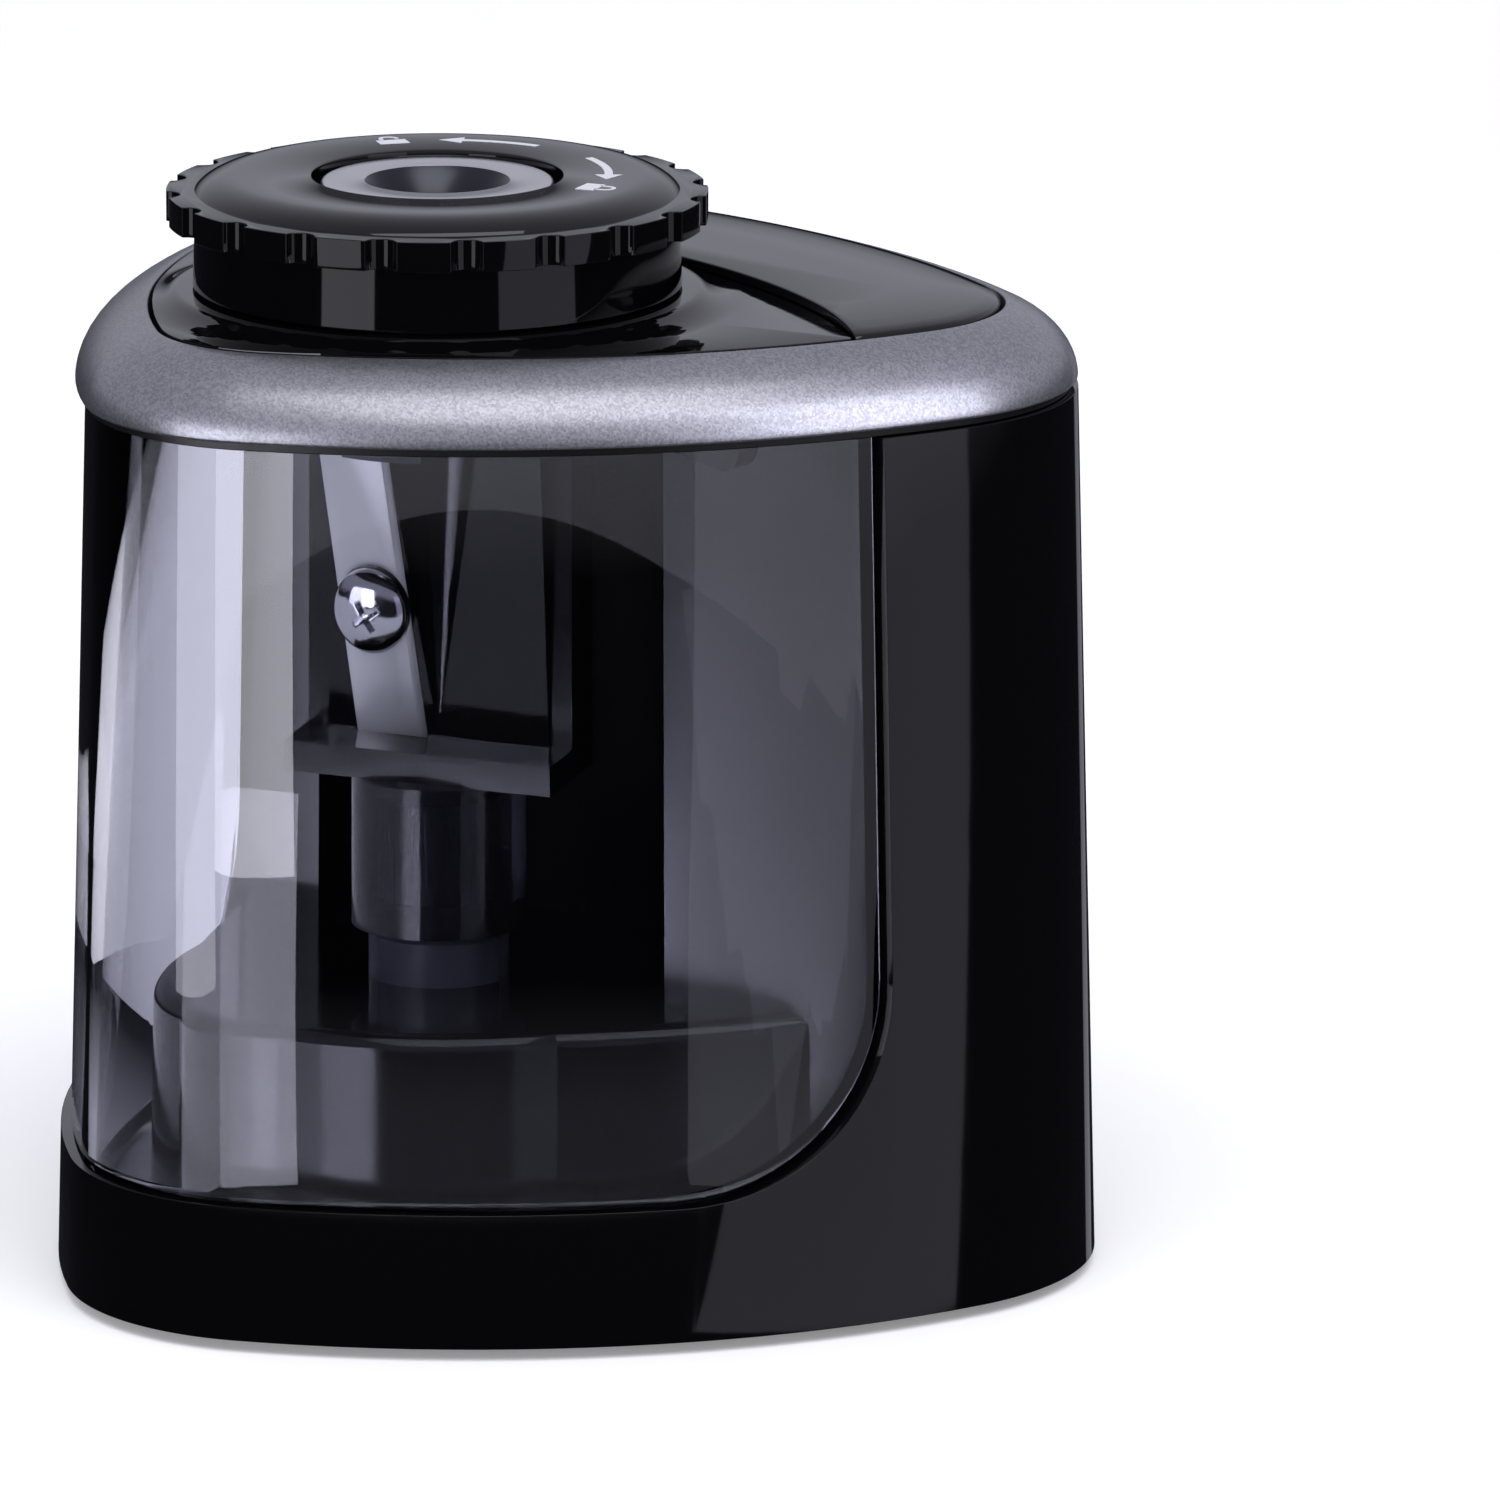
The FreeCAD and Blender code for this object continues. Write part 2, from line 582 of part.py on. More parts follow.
def screw_shank(extra):
    shank = Part.makeCylinder(SCREW_R + extra, 6.2, V(-BLADE[0] / 2, 0.5, BLADE_SCREW_Z), V(0, 1, 0))
    shank.translate(V(0, -1.0, 0))
    return leaned(shank)


def blade():
    width, thick, length = BLADE
    plate = box(-width, 0, -thick, 0, -length / 2, length / 2)
    return turned(leaned(plate).cut(screw_shank(0.0)))


def blade_screw():
    head = pan_head(SCREW_HEAD_R, 2.0, 0, 0, 0)
    head.rotate(V(0, 0, 0), V(1, 0, 0), 90)
    head.translate(V(-BLADE[0] / 2, -BLADE[1], BLADE_SCREW_Z))
    return turned(joined([leaned(head), screw_shank(0.0)]))


def output_shaft():
    low, high = SHAFT_Z
    return cylinder(SHAFT_R, low, high)


def output_gear():
    wheel = gear(OUTPUT_TEETH, OUTPUT_GEAR_Z[0], OUTPUT_GEAR_Z[1], AXIS_Y, 90)
    hub = cylinder(5.0, OUTPUT_GEAR_Z[1], OUTPUT_GEAR_Z[1] + 3.0)
    return joined([wheel, hub]).cut(cylinder(SHAFT_R, 0, 90))


def idler_gear():
    small = gear(IDLER_SMALL_TEETH, IDLER_SMALL_Z[0], IDLER_SMALL_Z[1], IDLER_Y, 270 + 180 / IDLER_SMALL_TEETH)
    large = gear(IDLER_LARGE_TEETH, IDLER_LARGE_Z[0], IDLER_LARGE_Z[1], IDLER_Y, 90)
    return joined([small, large]).cut(cylinder(AXLE_R + FIT, 0, 90, 0, IDLER_Y))


def idler_axle():
    return cylinder(AXLE_R, GEAR_PLATE_Z[0], DECK_Z - DECK_WALL, 0, IDLER_Y)


# --- thrust cup, spring and switch -------------------------------------------------------------------
def thrust_cup():
    cup = cylinder(CUP_R, CUP_Z[0], CUP_Z[1])
    return cup.cut(cylinder(SHAFT_R + FIT, SHAFT_Z[0], 90))


def return_spring():
    return coil(3.7, 0.3, PLATE_Z[1], CUP_Z[0], 3, 0, AXIS_Y)


def press_switch():
    body = box(-1.9, 1.9, AXIS_Y - 1.9, AXIS_Y + 1.9, PLATE_Z[1], PLATE_Z[1] + 1.2)
    button = cylinder(1.1, PLATE_Z[1] + 1.2, CUP_Z[0] - PRESS_TRAVEL - 0.1)
    return joined([body, button])


# --- motor -------------------------------------------------------------------------------------------
def motor_can():
    low, high = MOTOR_Z
    can = cylinder(MOTOR_R, low, high, 0, MOTOR_Y)
    can = can.common(box(-20, 20, MOTOR_Y - MOTOR_HALF_DEPTH, MOTOR_Y + MOTOR_HALF_DEPTH, 0, 90))
    hollow = cylinder(MOTOR_R - 0.8, low + 0.8, high + 1, 0, MOTOR_Y)
    inside = MOTOR_HALF_DEPTH - 0.8
    hollow = hollow.common(box(-20, 20, MOTOR_Y - inside, MOTOR_Y + inside, 0, 90))
    nose = cylinder(3.1, low - 1.8, low + 0.1, 0, MOTOR_Y)
    return joined([can.cut(hollow), nose]).cut(cylinder(MOTOR_SHAFT_R + FIT, 0, 90, 0, MOTOR_Y))


def motor_end_cap():
    high = MOTOR_Z[1]
    cap = cylinder(MOTOR_R, high, high + 2.2, 0, MOTOR_Y)
    cap = cap.common(box(-20, 20, MOTOR_Y - MOTOR_HALF_DEPTH, MOTOR_Y + MOTOR_HALF_DEPTH, 0, 90))
    boss = cylinder(3.0, high + 2.1, high + 3.6, 0, MOTOR_Y)
    tabs = [box(side * 6.5 - 1.2, side * 6.5 + 1.2, MOTOR_Y - 0.25, MOTOR_Y + 0.25, high + 2.1, high + 5.5)
            for side in (1, -1)]
    return joined([cap, boss] + tabs).cut(cylinder(MOTOR_SHAFT_R + FIT, 0, 90, 0, MOTOR_Y))


def motor_armature():
    low, high = MOTOR_Z
    core = cylinder(5.6, low + 4, high - 6, 0, MOTOR_Y)
    collector = cylinder(2.6, high - 6, high - 2, 0, MOTOR_Y)
    return joined([core, collector]).cut(cylinder(MOTOR_SHAFT_R, 0, 90, 0, MOTOR_Y))


def motor_shaft():
    return cylinder(MOTOR_SHAFT_R, PINION_Z[0] - 0.6, MOTOR_Z[1] + 4.4, 0, MOTOR_Y)


def motor_pinion():
    pinion = gear(PINION_TEETH, PINION_Z[0], PINION_Z[1], MOTOR_Y, 270 + 180 / PINION_TEETH)
    return pinion.cut(cylinder(MOTOR_SHAFT_R, 0, 90, 0, MOTOR_Y))


# --- cells -------------------------------------------------------------------------------------------
def cell(side, nub_up):
    low, high = CELL_Z
    x = side * CELL_X
    if nub_up:
        can = cylinder(CELL_R, low, high - 1.2, x, CELL_Y)
        nub = cylinder(2.7, high - 1.3, high, x, CELL_Y)
    else:
        can = cylinder(CELL_R, low + 1.2, high, x, CELL_Y)
        nub = cylinder(2.7, low, low + 1.3, x, CELL_Y)
    return joined([can, nub])


def cell_tube(side):
    x = side * CELL_X
    wall = tube(TUBE_R + TUBE_T, TUBE_R, PLATE_Z[1], 46.0, x, CELL_Y)
    floor = tube(TUBE_R + 0.1, 4.4, CELL_Z[0] - 1.6, CELL_Z[0] - 0.2, x, CELL_Y)
    slot = box(x - 4.0, x + 4.0, CELL_Y + 4, CELL_Y + 12, CELL_Z[0], 50)
    return joined([wall, floor]).cut(slot)


def cell_spring(side):
    return coil(3.2, 0.35, PLATE_Z[1], CELL_Z[0], 4, side * CELL_X, CELL_Y)


def all_parts():
    parts = {
        "housing_shell": housing_shell(),
        "gear_deck": gear_deck(),
        "gear_plate": gear_plate(),
        "base_plate": base_plate(),
        "shaft_bush": shaft_bush(),
        "trim_band": trim_band(),
        "top_frame": top_frame(),
        "front_cover": front_cover(),
        "battery_lid": battery_lid(),
        "contact_bridge": contact_bridge(),
        "window": window(),
        "turn_knob": turn_knob(),
        "pencil_bushing": pencil_bushing(),
        "bayonet_ring": bayonet_ring(),
        "coupling": coupling(),
        "cutter_frame": cutter_frame(),
        "sharpener_body": sharpener_body(),
        "blade": blade(),
        "blade_screw": blade_screw(),
        "output_shaft": output_shaft(),
        "output_gear": output_gear(),
        "idler_gear": idler_gear(),
        "idler_axle": idler_axle(),
        "thrust_cup": thrust_cup(),
        "return_spring": return_spring(),
        "press_switch": press_switch(),
        "motor_can": motor_can(),
        "motor_end_cap": motor_end_cap(),
        "motor_armature": motor_armature(),
        "motor_shaft": motor_shaft(),
        "motor_pinion": motor_pinion(),
    }
    for side, name in ((1, "right"), (-1, "left")):
        parts["cell_" + name] = cell(side, side > 0)
        parts["cell_tube_" + name] = cell_tube(side)
        parts["cell_spring_" + name] = cell_spring(side)
        for row, (x, y) in zip(("rear", "front"), FEET):
            parts["foot_%s_%s" % (row, name)] = foot(side * x, y)
        for row, (x, y) in zip(("rear", "front"), SCREWS):
            parts["base_screw_%s_%s" % (row, name)] = base_screw(side * x, y)
    return parts


os.makedirs("parts", exist_ok=True)
for node, shape in all_parts().items():
    if not shape.isValid() or not shape.Solids:
        print("check", node, shape.isValid(), len(shape.Solids))
    shape.exportStep("parts/" + node + ".step")
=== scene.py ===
# %% [markdown]
# # A battery pencil sharpener
# The engineering model gives every part its place and size. This script keeps it as a fixed frame and
# builds the surfaces that an eye rests on: the glossy shell, the smoked window, the painted band, the
# two top covers and the turning knob. Everything else keeps its engineering shape and gets a finish.

# %% Load the frame
import math

import bmesh
import bpy
from mathutils import Matrix, Vector


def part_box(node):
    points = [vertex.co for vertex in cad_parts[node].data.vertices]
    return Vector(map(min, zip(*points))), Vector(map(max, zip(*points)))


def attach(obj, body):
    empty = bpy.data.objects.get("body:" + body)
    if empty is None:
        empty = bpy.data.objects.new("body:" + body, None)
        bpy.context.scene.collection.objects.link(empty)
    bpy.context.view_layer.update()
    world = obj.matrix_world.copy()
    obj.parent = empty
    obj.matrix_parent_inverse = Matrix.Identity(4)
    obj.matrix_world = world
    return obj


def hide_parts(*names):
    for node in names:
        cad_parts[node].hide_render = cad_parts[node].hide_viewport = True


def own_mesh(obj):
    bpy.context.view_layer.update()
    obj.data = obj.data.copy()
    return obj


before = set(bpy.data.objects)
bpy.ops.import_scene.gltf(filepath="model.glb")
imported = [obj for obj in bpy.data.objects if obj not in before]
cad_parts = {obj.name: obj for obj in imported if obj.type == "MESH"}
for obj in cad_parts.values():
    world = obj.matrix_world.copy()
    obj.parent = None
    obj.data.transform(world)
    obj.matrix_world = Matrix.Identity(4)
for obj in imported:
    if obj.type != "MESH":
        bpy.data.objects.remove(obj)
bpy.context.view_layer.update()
MM = 0.001

# %% [markdown]
# ## The footprint
# Seen from above the sharpener is a triangle with round corners. It is made only of arcs that run
# smoothly into each other, so one wall section can be swung round them in turn, as a potter's rib
# follows a template. Sizes are millimetres here and become metres when a mesh is made.

# %% Footprint and heights
low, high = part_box("base_plate")
BASE_GAP = 2.25
HALF_DEPTH = round((high.y - low.y) / 2 / MM + BASE_GAP, 1)
NOSE_R = 17.3
SIDE_R = 66.0
CORNER_R = 19.8
CORNER_X = 19.65
BACK_R = 77.5
DRAFT = math.radians(1.65)
RIM_Z = 10.7
WALL_TOP_Z = 65.3
BAND_Z = 65.9
COVER_Z = 71.4
COVER_T = 2.0
BAND_WIDTH = 5.3
AXIS = Vector((0, -6.4))
AXIS_POINT = Vector((0, AXIS.y * MM, 0))
SEAM_Y = 3.75
SEAM_CORNER_R = 15.0
SEAM_GAP = 0.4
VIEW_TURN = 47.2


def lean(z):
    """How far the drafted wall has come in at height z."""
    return z * math.tan(DRAFT)


nose = Vector((0, -HALF_DEPTH + NOSE_R))
back = Vector((0, HALF_DEPTH - BACK_R))
corner = Vector((CORNER_X, back.y + math.sqrt((BACK_R - CORNER_R) ** 2 - CORNER_X ** 2)))
reach = corner - nose
to_nose, to_corner = SIDE_R - NOSE_R, SIDE_R - CORNER_R
along = (to_nose ** 2 - to_corner ** 2 + reach.length_squared) / (2 * reach.length)
across = math.sqrt(to_nose ** 2 - along ** 2)
heading = reach.normalized()
side = nose + heading * along + Vector((-heading.y, heading.x)) * across


def bearing(vector):
    """Angle of a plan direction, counted from straight ahead of the nose towards the right."""
    return math.atan2(vector.x, -vector.y)


TURNS = [(nose, bearing(nose - side), 18),
         (side, bearing(corner - side) - bearing(nose - side), 22),
         (corner, bearing(corner - back) - bearing(corner - side), 22),
         (back, math.pi - bearing(corner - back), 10)]
print("footprint arcs, degrees:", [round(math.degrees(turn), 1) for _, turn, _ in TURNS])

# %% [markdown]
# ## Small tools for modelling by hand
# Each new piece starts as a primitive and is shaped with the same operators as in edit mode. The
# helpers below only save typing: pick things by place, draw a line of points, and swing that line.

# %% Modelling tools


def only(piece):
    """Leave edit mode and make this the one selected object."""
    if bpy.context.object and bpy.context.object.mode == "EDIT":
        bpy.ops.object.mode_set(mode="OBJECT")
    bpy.ops.object.select_all(action="DESELECT")
    piece.select_set(True)
    bpy.context.view_layer.objects.active = piece


def edit(piece):
    """Open a piece, and only that piece, in edit mode."""
    only(piece)
    bpy.ops.object.mode_set(mode="EDIT")


def pick(piece, kind, test):
    """Select the vertices, edges or faces whose middle, in millimetres, passes the test."""
    bpy.ops.mesh.select_mode(type=kind)
    bpy.ops.mesh.select_all(action="DESELECT")
    shape = bmesh.from_edit_mesh(piece.data)
    group = {"VERT": shape.verts, "EDGE": shape.edges, "FACE": shape.faces}[kind]
    for part in group:
        corners = [part.co] if kind == "VERT" else [vert.co for vert in part.verts]
        middle = sum(corners, Vector()) / len(corners) / MM
        part.select_set(bool(test(middle, part)))
    shape.select_flush_mode()
    bmesh.update_edit_mesh(piece.data)


def starts(name, primitive, **sizes):
    """Add a primitive with nothing else selected and give it its name."""
    if bpy.context.object and bpy.context.object.mode == "EDIT":
        bpy.ops.object.mode_set(mode="OBJECT")
    bpy.ops.object.select_all(action="DESELECT")
    primitive(**sizes)
    piece = bpy.context.object
    piece.name = piece.data.name = name
    bpy.ops.object.transform_apply(location=True, rotation=True, scale=True)
    return piece


def draw(name, points, closed):
    """Draw a line through (x, y, z) points by extruding one vertex again and again."""
    piece = starts(name, bpy.ops.mesh.primitive_plane_add, size=MM, location=Vector(points[0]) * MM)
    edit(piece)
    bpy.ops.mesh.select_mode(type="VERT")
    bpy.ops.mesh.select_all(action="SELECT")
    bpy.ops.mesh.merge(type="CENTER")
    for point, last in zip(points[1:], points):
        step = (Vector(point) - Vector(last)) * MM
        bpy.ops.mesh.extrude_region_move(TRANSFORM_OT_translate={"value": step})
    if closed:
        ends = Vector(points[0]), Vector(points[-1])
        pick(piece, "VERT", lambda place, _: min((place - end).length for end in ends) < 1e-3)
        bpy.ops.mesh.edge_face_add()
    return piece


def modify(piece, kind, **settings):
    """Add a modifier with its settings and apply it at once."""
    only(piece)
    modifier = piece.modifiers.new(kind.title(), kind)
    for setting, value in settings.items():
        setattr(modifier, setting, value)
    bpy.ops.object.modifier_apply(modifier=modifier.name)


def carve(piece, tool, operation="DIFFERENCE"):
    """Cut, join or keep the shared part of two solids, and throw the tool away."""
    modify(piece, "BOOLEAN", object=tool, operation=operation, solver="EXACT")
    bpy.data.objects.remove(tool)


def outwards(piece, tolerance=1e-6):
    """Close the joins of a shape and point its faces outwards."""
    edit(piece)
    bpy.ops.mesh.select_all(action="SELECT")
    bpy.ops.mesh.remove_doubles(threshold=tolerance)
    bpy.ops.mesh.normals_make_consistent(inside=False)
    bpy.ops.object.mode_set(mode="OBJECT")


def swing_round(name, section, closed=True):
    """Swing a section of (inset, z) points round the whole footprint."""
    piece = draw(name, [(0, -HALF_DEPTH + inset, z) for inset, z in section], closed)
    bpy.ops.mesh.select_mode(type="EDGE")
    bpy.ops.mesh.select_all(action="SELECT")
    for centre, turn, steps in TURNS:
        bpy.ops.mesh.spin(steps=steps, angle=turn, axis=(0, 0, -1),
                          center=(centre.x * MM, centre.y * MM, 0))
    modify(piece, "MIRROR", use_axis=(True, False, False), merge_threshold=2e-5)
    outwards(piece, 5e-6)
    return piece


def capped(name, section):
    """Swing an open section round the footprint, and close it with a face at each end."""
    piece = swing_round(name, section, closed=False)
    edit(piece)
    for z in (section[0][1], section[-1][1]):
        pick(piece, "EDGE", lambda place, edge: edge.is_boundary and abs(place.z - z) < 1e-3)
        bpy.ops.mesh.edge_face_add()
    outwards(piece)
    return piece


def turned(name, section, steps=128):
    """Turn a closed section of (radius, z) points round the pencil axis."""
    piece = draw(name, [(0, AXIS.y - radius, z) for radius, z in section], True)
    bpy.ops.mesh.select_mode(type="EDGE")
    bpy.ops.mesh.select_all(action="SELECT")
    bpy.ops.mesh.spin(steps=steps, angle=2 * math.pi, center=AXIS_POINT, axis=(0, 0, 1))
    outwards(piece)
    return piece


def slab(name, outline, z0, z1):
    """Raise a flat outline of (x, y) points from z0 to z1."""
    piece = draw(name, [(x, y, z0) for x, y in outline], True)
    bpy.ops.mesh.select_all(action="SELECT")
    bpy.ops.mesh.edge_face_add()
    bpy.ops.mesh.extrude_region_move(TRANSFORM_OT_translate={"value": (0, 0, (z1 - z0) * MM)})
    outwards(piece)
    return piece


def drum(name, radius, z0, z1, x=0.0, y=AXIS.y, sides=64):
    """An upright cylinder from z0 to z1, on the pencil axis unless x and y say otherwise."""
    middle = Vector((x, y, (z0 + z1) / 2)) * MM
    return starts(name, bpy.ops.mesh.primitive_cylinder_add, vertices=sides, radius=radius * MM,
                  depth=(z1 - z0) * MM, location=middle)


def block(name, x, y, z):
    """A box from its three (low, high) pairs."""
    spans = (x, y, z)
    middle = Vector([sum(span) / 2 for span in spans]) * MM
    scale = [(span[1] - span[0]) * MM for span in spans]
    return starts(name, bpy.ops.mesh.primitive_cube_add, size=1, location=middle, scale=scale)


def soften(piece, width, angle=30, segments=3):
    """Round every edge sharper than the angle, as a mould does, and shade the rest smooth."""
    modify(piece, "BEVEL", width=width * MM, segments=segments, limit_method="ANGLE",
           angle_limit=math.radians(angle), use_clamp_overlap=True)
    smooth(piece)


def smooth(piece, angle=40):
    """Shade smooth across every edge flatter than the angle."""
    only(piece)
    bpy.ops.object.shade_smooth_by_angle(angle=math.radians(angle))


def fit(piece, body, slot, finish, *nodes):
    """Hang a finished piece on its body, with its finish, in place of CAD nodes."""
    piece.data.materials.clear()
    piece.data.materials.append(finish)
    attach(piece, body)
    if nodes:
        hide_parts(*nodes)
    print(piece.name, len(piece.data.polygons), "faces")


def refinish(piece, finish, test):
    """Give a second finish to the faces whose middle passes the test."""
    piece.data.materials.append(finish)
    edit(piece)
    pick(piece, "FACE", test)
    piece.active_material_index = 1
    bpy.ops.object.material_slot_assign()
    bpy.ops.object.mode_set(mode="OBJECT")


def mount(piece, place):
    """Move a finished shape to its place and bake the move into its mesh."""
    only(piece)
    piece.matrix_world = place
    bpy.ops.object.transform_apply(location=True, rotation=True, scale=True)


def arc(centre, radius, start, stop, steps):
    """Points of an arc; angles are degrees from the first axis towards the second."""
    angles = [math.radians(start + (stop - start) * step / steps) for step in range(steps + 1)]
    return [(centre[0] + radius * math.cos(a), centre[1] + radius * math.sin(a)) for a in angles]


# %% [markdown]
# ## Finishes
# Every finish is a node tree on a Principled shader, measured in real sizes. Object coordinates are
# metres, so a pattern that repeats every `size` millimetres has the scale 1 / size.

# %% Material tools


def colour(code):
    """Turn an sRGB hex colour into the linear values that a shader takes."""
    channels = [int(code[place:place + 2], 16) / 255 for place in (1, 3, 5)]
    return [c / 12.92 if c <= 0.04045 else ((c + 0.055) / 1.055) ** 2.4 for c in channels] + [1.0]


def add(tree, kind, inputs=None, links=None, **settings):
    """Add one node: settings on the node, values on its inputs, and links from other sockets."""
    node = tree.nodes.new(kind)
    for setting, value in settings.items():
        setattr(node, setting, value)
    for socket, value in (inputs or {}).items():
        node.inputs[socket].default_value = value
    for socket, source in (links or {}).items():
        tree.links.new(source, node.inputs[socket])
    return node


def finish(name, base, rough, metal=0.0, **shader):
    """Start a finish: an empty tree with a Principled shader and the object's coordinates."""
    made = bpy.data.materials.new(name)
    made.use_nodes = True
    tree = made.node_tree
    tree.nodes.clear()
    skin = add(tree, "ShaderNodeBsdfPrincipled",
               {"Base Color": colour(base), "Roughness": rough, "Metallic": metal, **shader})
    add(tree, "ShaderNodeOutputMaterial", links={"Surface": skin.outputs["BSDF"]})
    place = add(tree, "ShaderNodeTexCoord").outputs["Object"]
    return made, tree, skin, place


def per_mm(size):
    """Texture scale of a pattern that repeats every size millimetres."""
    return 1 / (size * MM)


def bump(tree, skin, height, depth):
    """Raise the surface by a height pattern; depth is in millimetres."""
    raised = add(tree, "ShaderNodeBump", {"Strength": 1.0, "Distance": depth * MM}, {"Height": height})
    tree.links.new(raised.outputs["Normal"], skin.inputs["Normal"])


def spread(tree, source, low, high):
    """Stretch a 0 to 1 pattern to run from low to high."""
    stretched = add(tree, "ShaderNodeMapRange", {"To Min": low, "To Max": high}, {"Value": source})
    return stretched.outputs["Result"]


WIPE_SIZE = 18.0


def moulded(name, base, rough, grain, depth, **shader):
    """Moulded plastic: patches wiped over in its gloss, and a faint orange peel unless depth is 0."""
    made, tree, skin, place = finish(name, base, rough, **shader)
    wiped = add(tree, "ShaderNodeTexNoise", {"Scale": per_mm(WIPE_SIZE), "Detail": 3.0}, {"Vector": place})
    gloss = spread(tree, wiped.outputs["Fac"], rough * 0.7, rough * 1.3)
    tree.links.new(gloss, skin.inputs["Roughness"])
    if depth:
        peel = add(tree, "ShaderNodeTexNoise", {"Scale": per_mm(grain), "Detail": 2.0}, {"Vector": place})
        bump(tree, skin, peel.outputs["Fac"], depth)
    return made


# %% [markdown]
# ### Black ABS and other moulded plastics
# The shell, covers and knob are ABS from a polished mould: nearly black, with a clean mirror gloss that
# only wavers a little over a few millimetres. ABS has an IOR near 1.5. The chamber's wings take a satin
# copy of it that is lighter and more reflective, as painted light, and the hollow behind the cutter a dull
# copy that is darker and has almost no specular, as painted shade. Both were chosen for their tone.

# %% Plastics
gloss_abs = moulded("glossy black ABS", "#060608", 0.05, 6.0, 0.006, IOR=1.46)
satin_abs = moulded("satin black ABS", "#070709", 0.12, 2.5, 0.010, IOR=1.46)
inner_abs = moulded("matt black ABS", "#0c0c0e", 0.42, 0.8, 0.012, IOR=1.46)
# Painted light: lighter and more reflective (IOR 1.62) than the shell's ABS, to brighten the wings.
painted_light_wing_abs = moulded("black ABS with painted light", "#131319", 0.20, 9.0, 0, IOR=1.62)
# Painted shade: darker than the shell's ABS and with almost no specular, to deepen the hollow.
painted_shade_chamber_abs = moulded("black ABS with painted shade", "#020203", 0.40, 1.5, 0.006, **{"Specular IOR Level": 0.05})
white_acetal = moulded("white acetal", "#e4e3df", 0.34, 1.2, 0.006, IOR=1.48)
gear_acetal = moulded("natural acetal", "#d9d6ca", 0.38, 1.0, 0.006, IOR=1.48)
foot_rubber = moulded("black rubber", "#111112", 0.72, 0.35, 0.020, IOR=1.52)

# %% [markdown]
# ### Smoked clear plastic
# The window and the cutter's coupling are styrene dyed a cool grey while it is molten. Light is
# tinted on its way through, so the tint sits on the shader's colour. Transmission is full in the window,
# and partial in the darker grades.

# %% Clear plastics
smoked_clear = moulded("smoked clear styrene", "#d2d2dc", 0.006, 14.0, 0, IOR=1.45,
                       **{"Transmission Weight": 1.0})
smoked_dark = moulded("dark smoked styrene", "#3c3c44", 0.10, 3.0, 0.010, IOR=1.45,
                      **{"Transmission Weight": 0.75})
smoked_grey = moulded("translucent grey styrene", "#6a6a78", 0.22, 3.0, 0.010, IOR=1.45,
                      **{"Transmission Weight": 0.45})

# %% [markdown]
# ### Silver metallic paint
# Aluminium flakes lie at random angles in a clear lacquer. Each flake here is a cell about 0.16 mm
# across, coarser than the real 0.03 mm so that the sparkle can be seen, with its own tilt and tone.

# %% Painted band
silver_paint, tree, skin, place = finish("silver metallic paint", "#b9b9c1", 0.36, 0.85)
skin.inputs["Coat Weight"].default_value = 0.25
skin.inputs["Coat Roughness"].default_value = 0.12
FLAKE_SIZE = 0.16
flakes = add(tree, "ShaderNodeTexVoronoi", {"Scale": per_mm(FLAKE_SIZE)}, {"Vector": place})
tone = add(tree, "ShaderNodeSeparateColor", links={"Color": flakes.outputs["Color"]})
tint = add(tree, "ShaderNodeValToRGB", links={"Fac": tone.outputs["Red"]})
tint.color_ramp.elements[0].color = colour("#7b7b83")
tint.color_ramp.elements[1].color = colour("#97979e")
tree.links.new(tint.outputs["Color"], skin.inputs["Base Color"])
bump(tree, skin, tone.outputs["Green"], 0.005)

# %% [markdown]
# ### Metals
# The bushing is turned aluminium, so fine rings run round its axis. The blade is ground across its
# length. The screws are bright zinc plate over steel with a faint waviness from the bath. A darker and
# rougher copy of the zinc plate is painted shade, for the bushing's bore and funnel and the screw head's
# foot.

# %% Metals
WAVES_PER_UNIT = 20


def turned_metal(name, base, rough, pitch, depth):
    """Metal from a lathe: rings about the pencil axis, one each pitch millimetres."""
    made, tree, skin, place = finish(name, base, rough, 1.0)
    centred = add(tree, "ShaderNodeMapping", {"Location": (0, -AXIS.y * MM, 0)}, {"Vector": place})
    rings = add(tree, "ShaderNodeTexWave",
                {"Scale": per_mm(pitch) / WAVES_PER_UNIT, "Distortion": 0.6, "Detail": 1.0},
                {"Vector": centred.outputs["Vector"]}, wave_type="RINGS", rings_direction="Z")
    bump(tree, skin, rings.outputs["Fac"], depth)
    return made


def ground_metal(name, base, rough, stretch, depth, metal=1.0):
    """Ground metal: scratches drawn out along one axis, given as three scales in millimetres."""
    made, tree, skin, place = finish(name, base, rough, metal)
    scales = [per_mm(size) for size in stretch]
    drawn = add(tree, "ShaderNodeMapping", {"Scale": scales}, {"Vector": place}).outputs["Vector"]
    lines = add(tree, "ShaderNodeTexNoise", {"Scale": 1.0, "Detail": 4.0}, {"Vector": drawn})
    gloss = spread(tree, lines.outputs["Fac"], rough * 0.75, rough * 1.3)
    tree.links.new(gloss, skin.inputs["Roughness"])
    bump(tree, skin, lines.outputs["Fac"], depth)
    return made


turned_aluminium = turned_metal("satin turned aluminium", "#cfcfd4", 0.24, 0.35, 0.006)
blade_steel = ground_metal("ground blade steel", "#f2f3f0", 0.38, (9.0, 9.0, 0.12), 0.003, 0.35)
zinc_plate = ground_metal("bright zinc plate", "#c9cacd", 0.12, (3.0, 3.0, 3.0), 0.002)
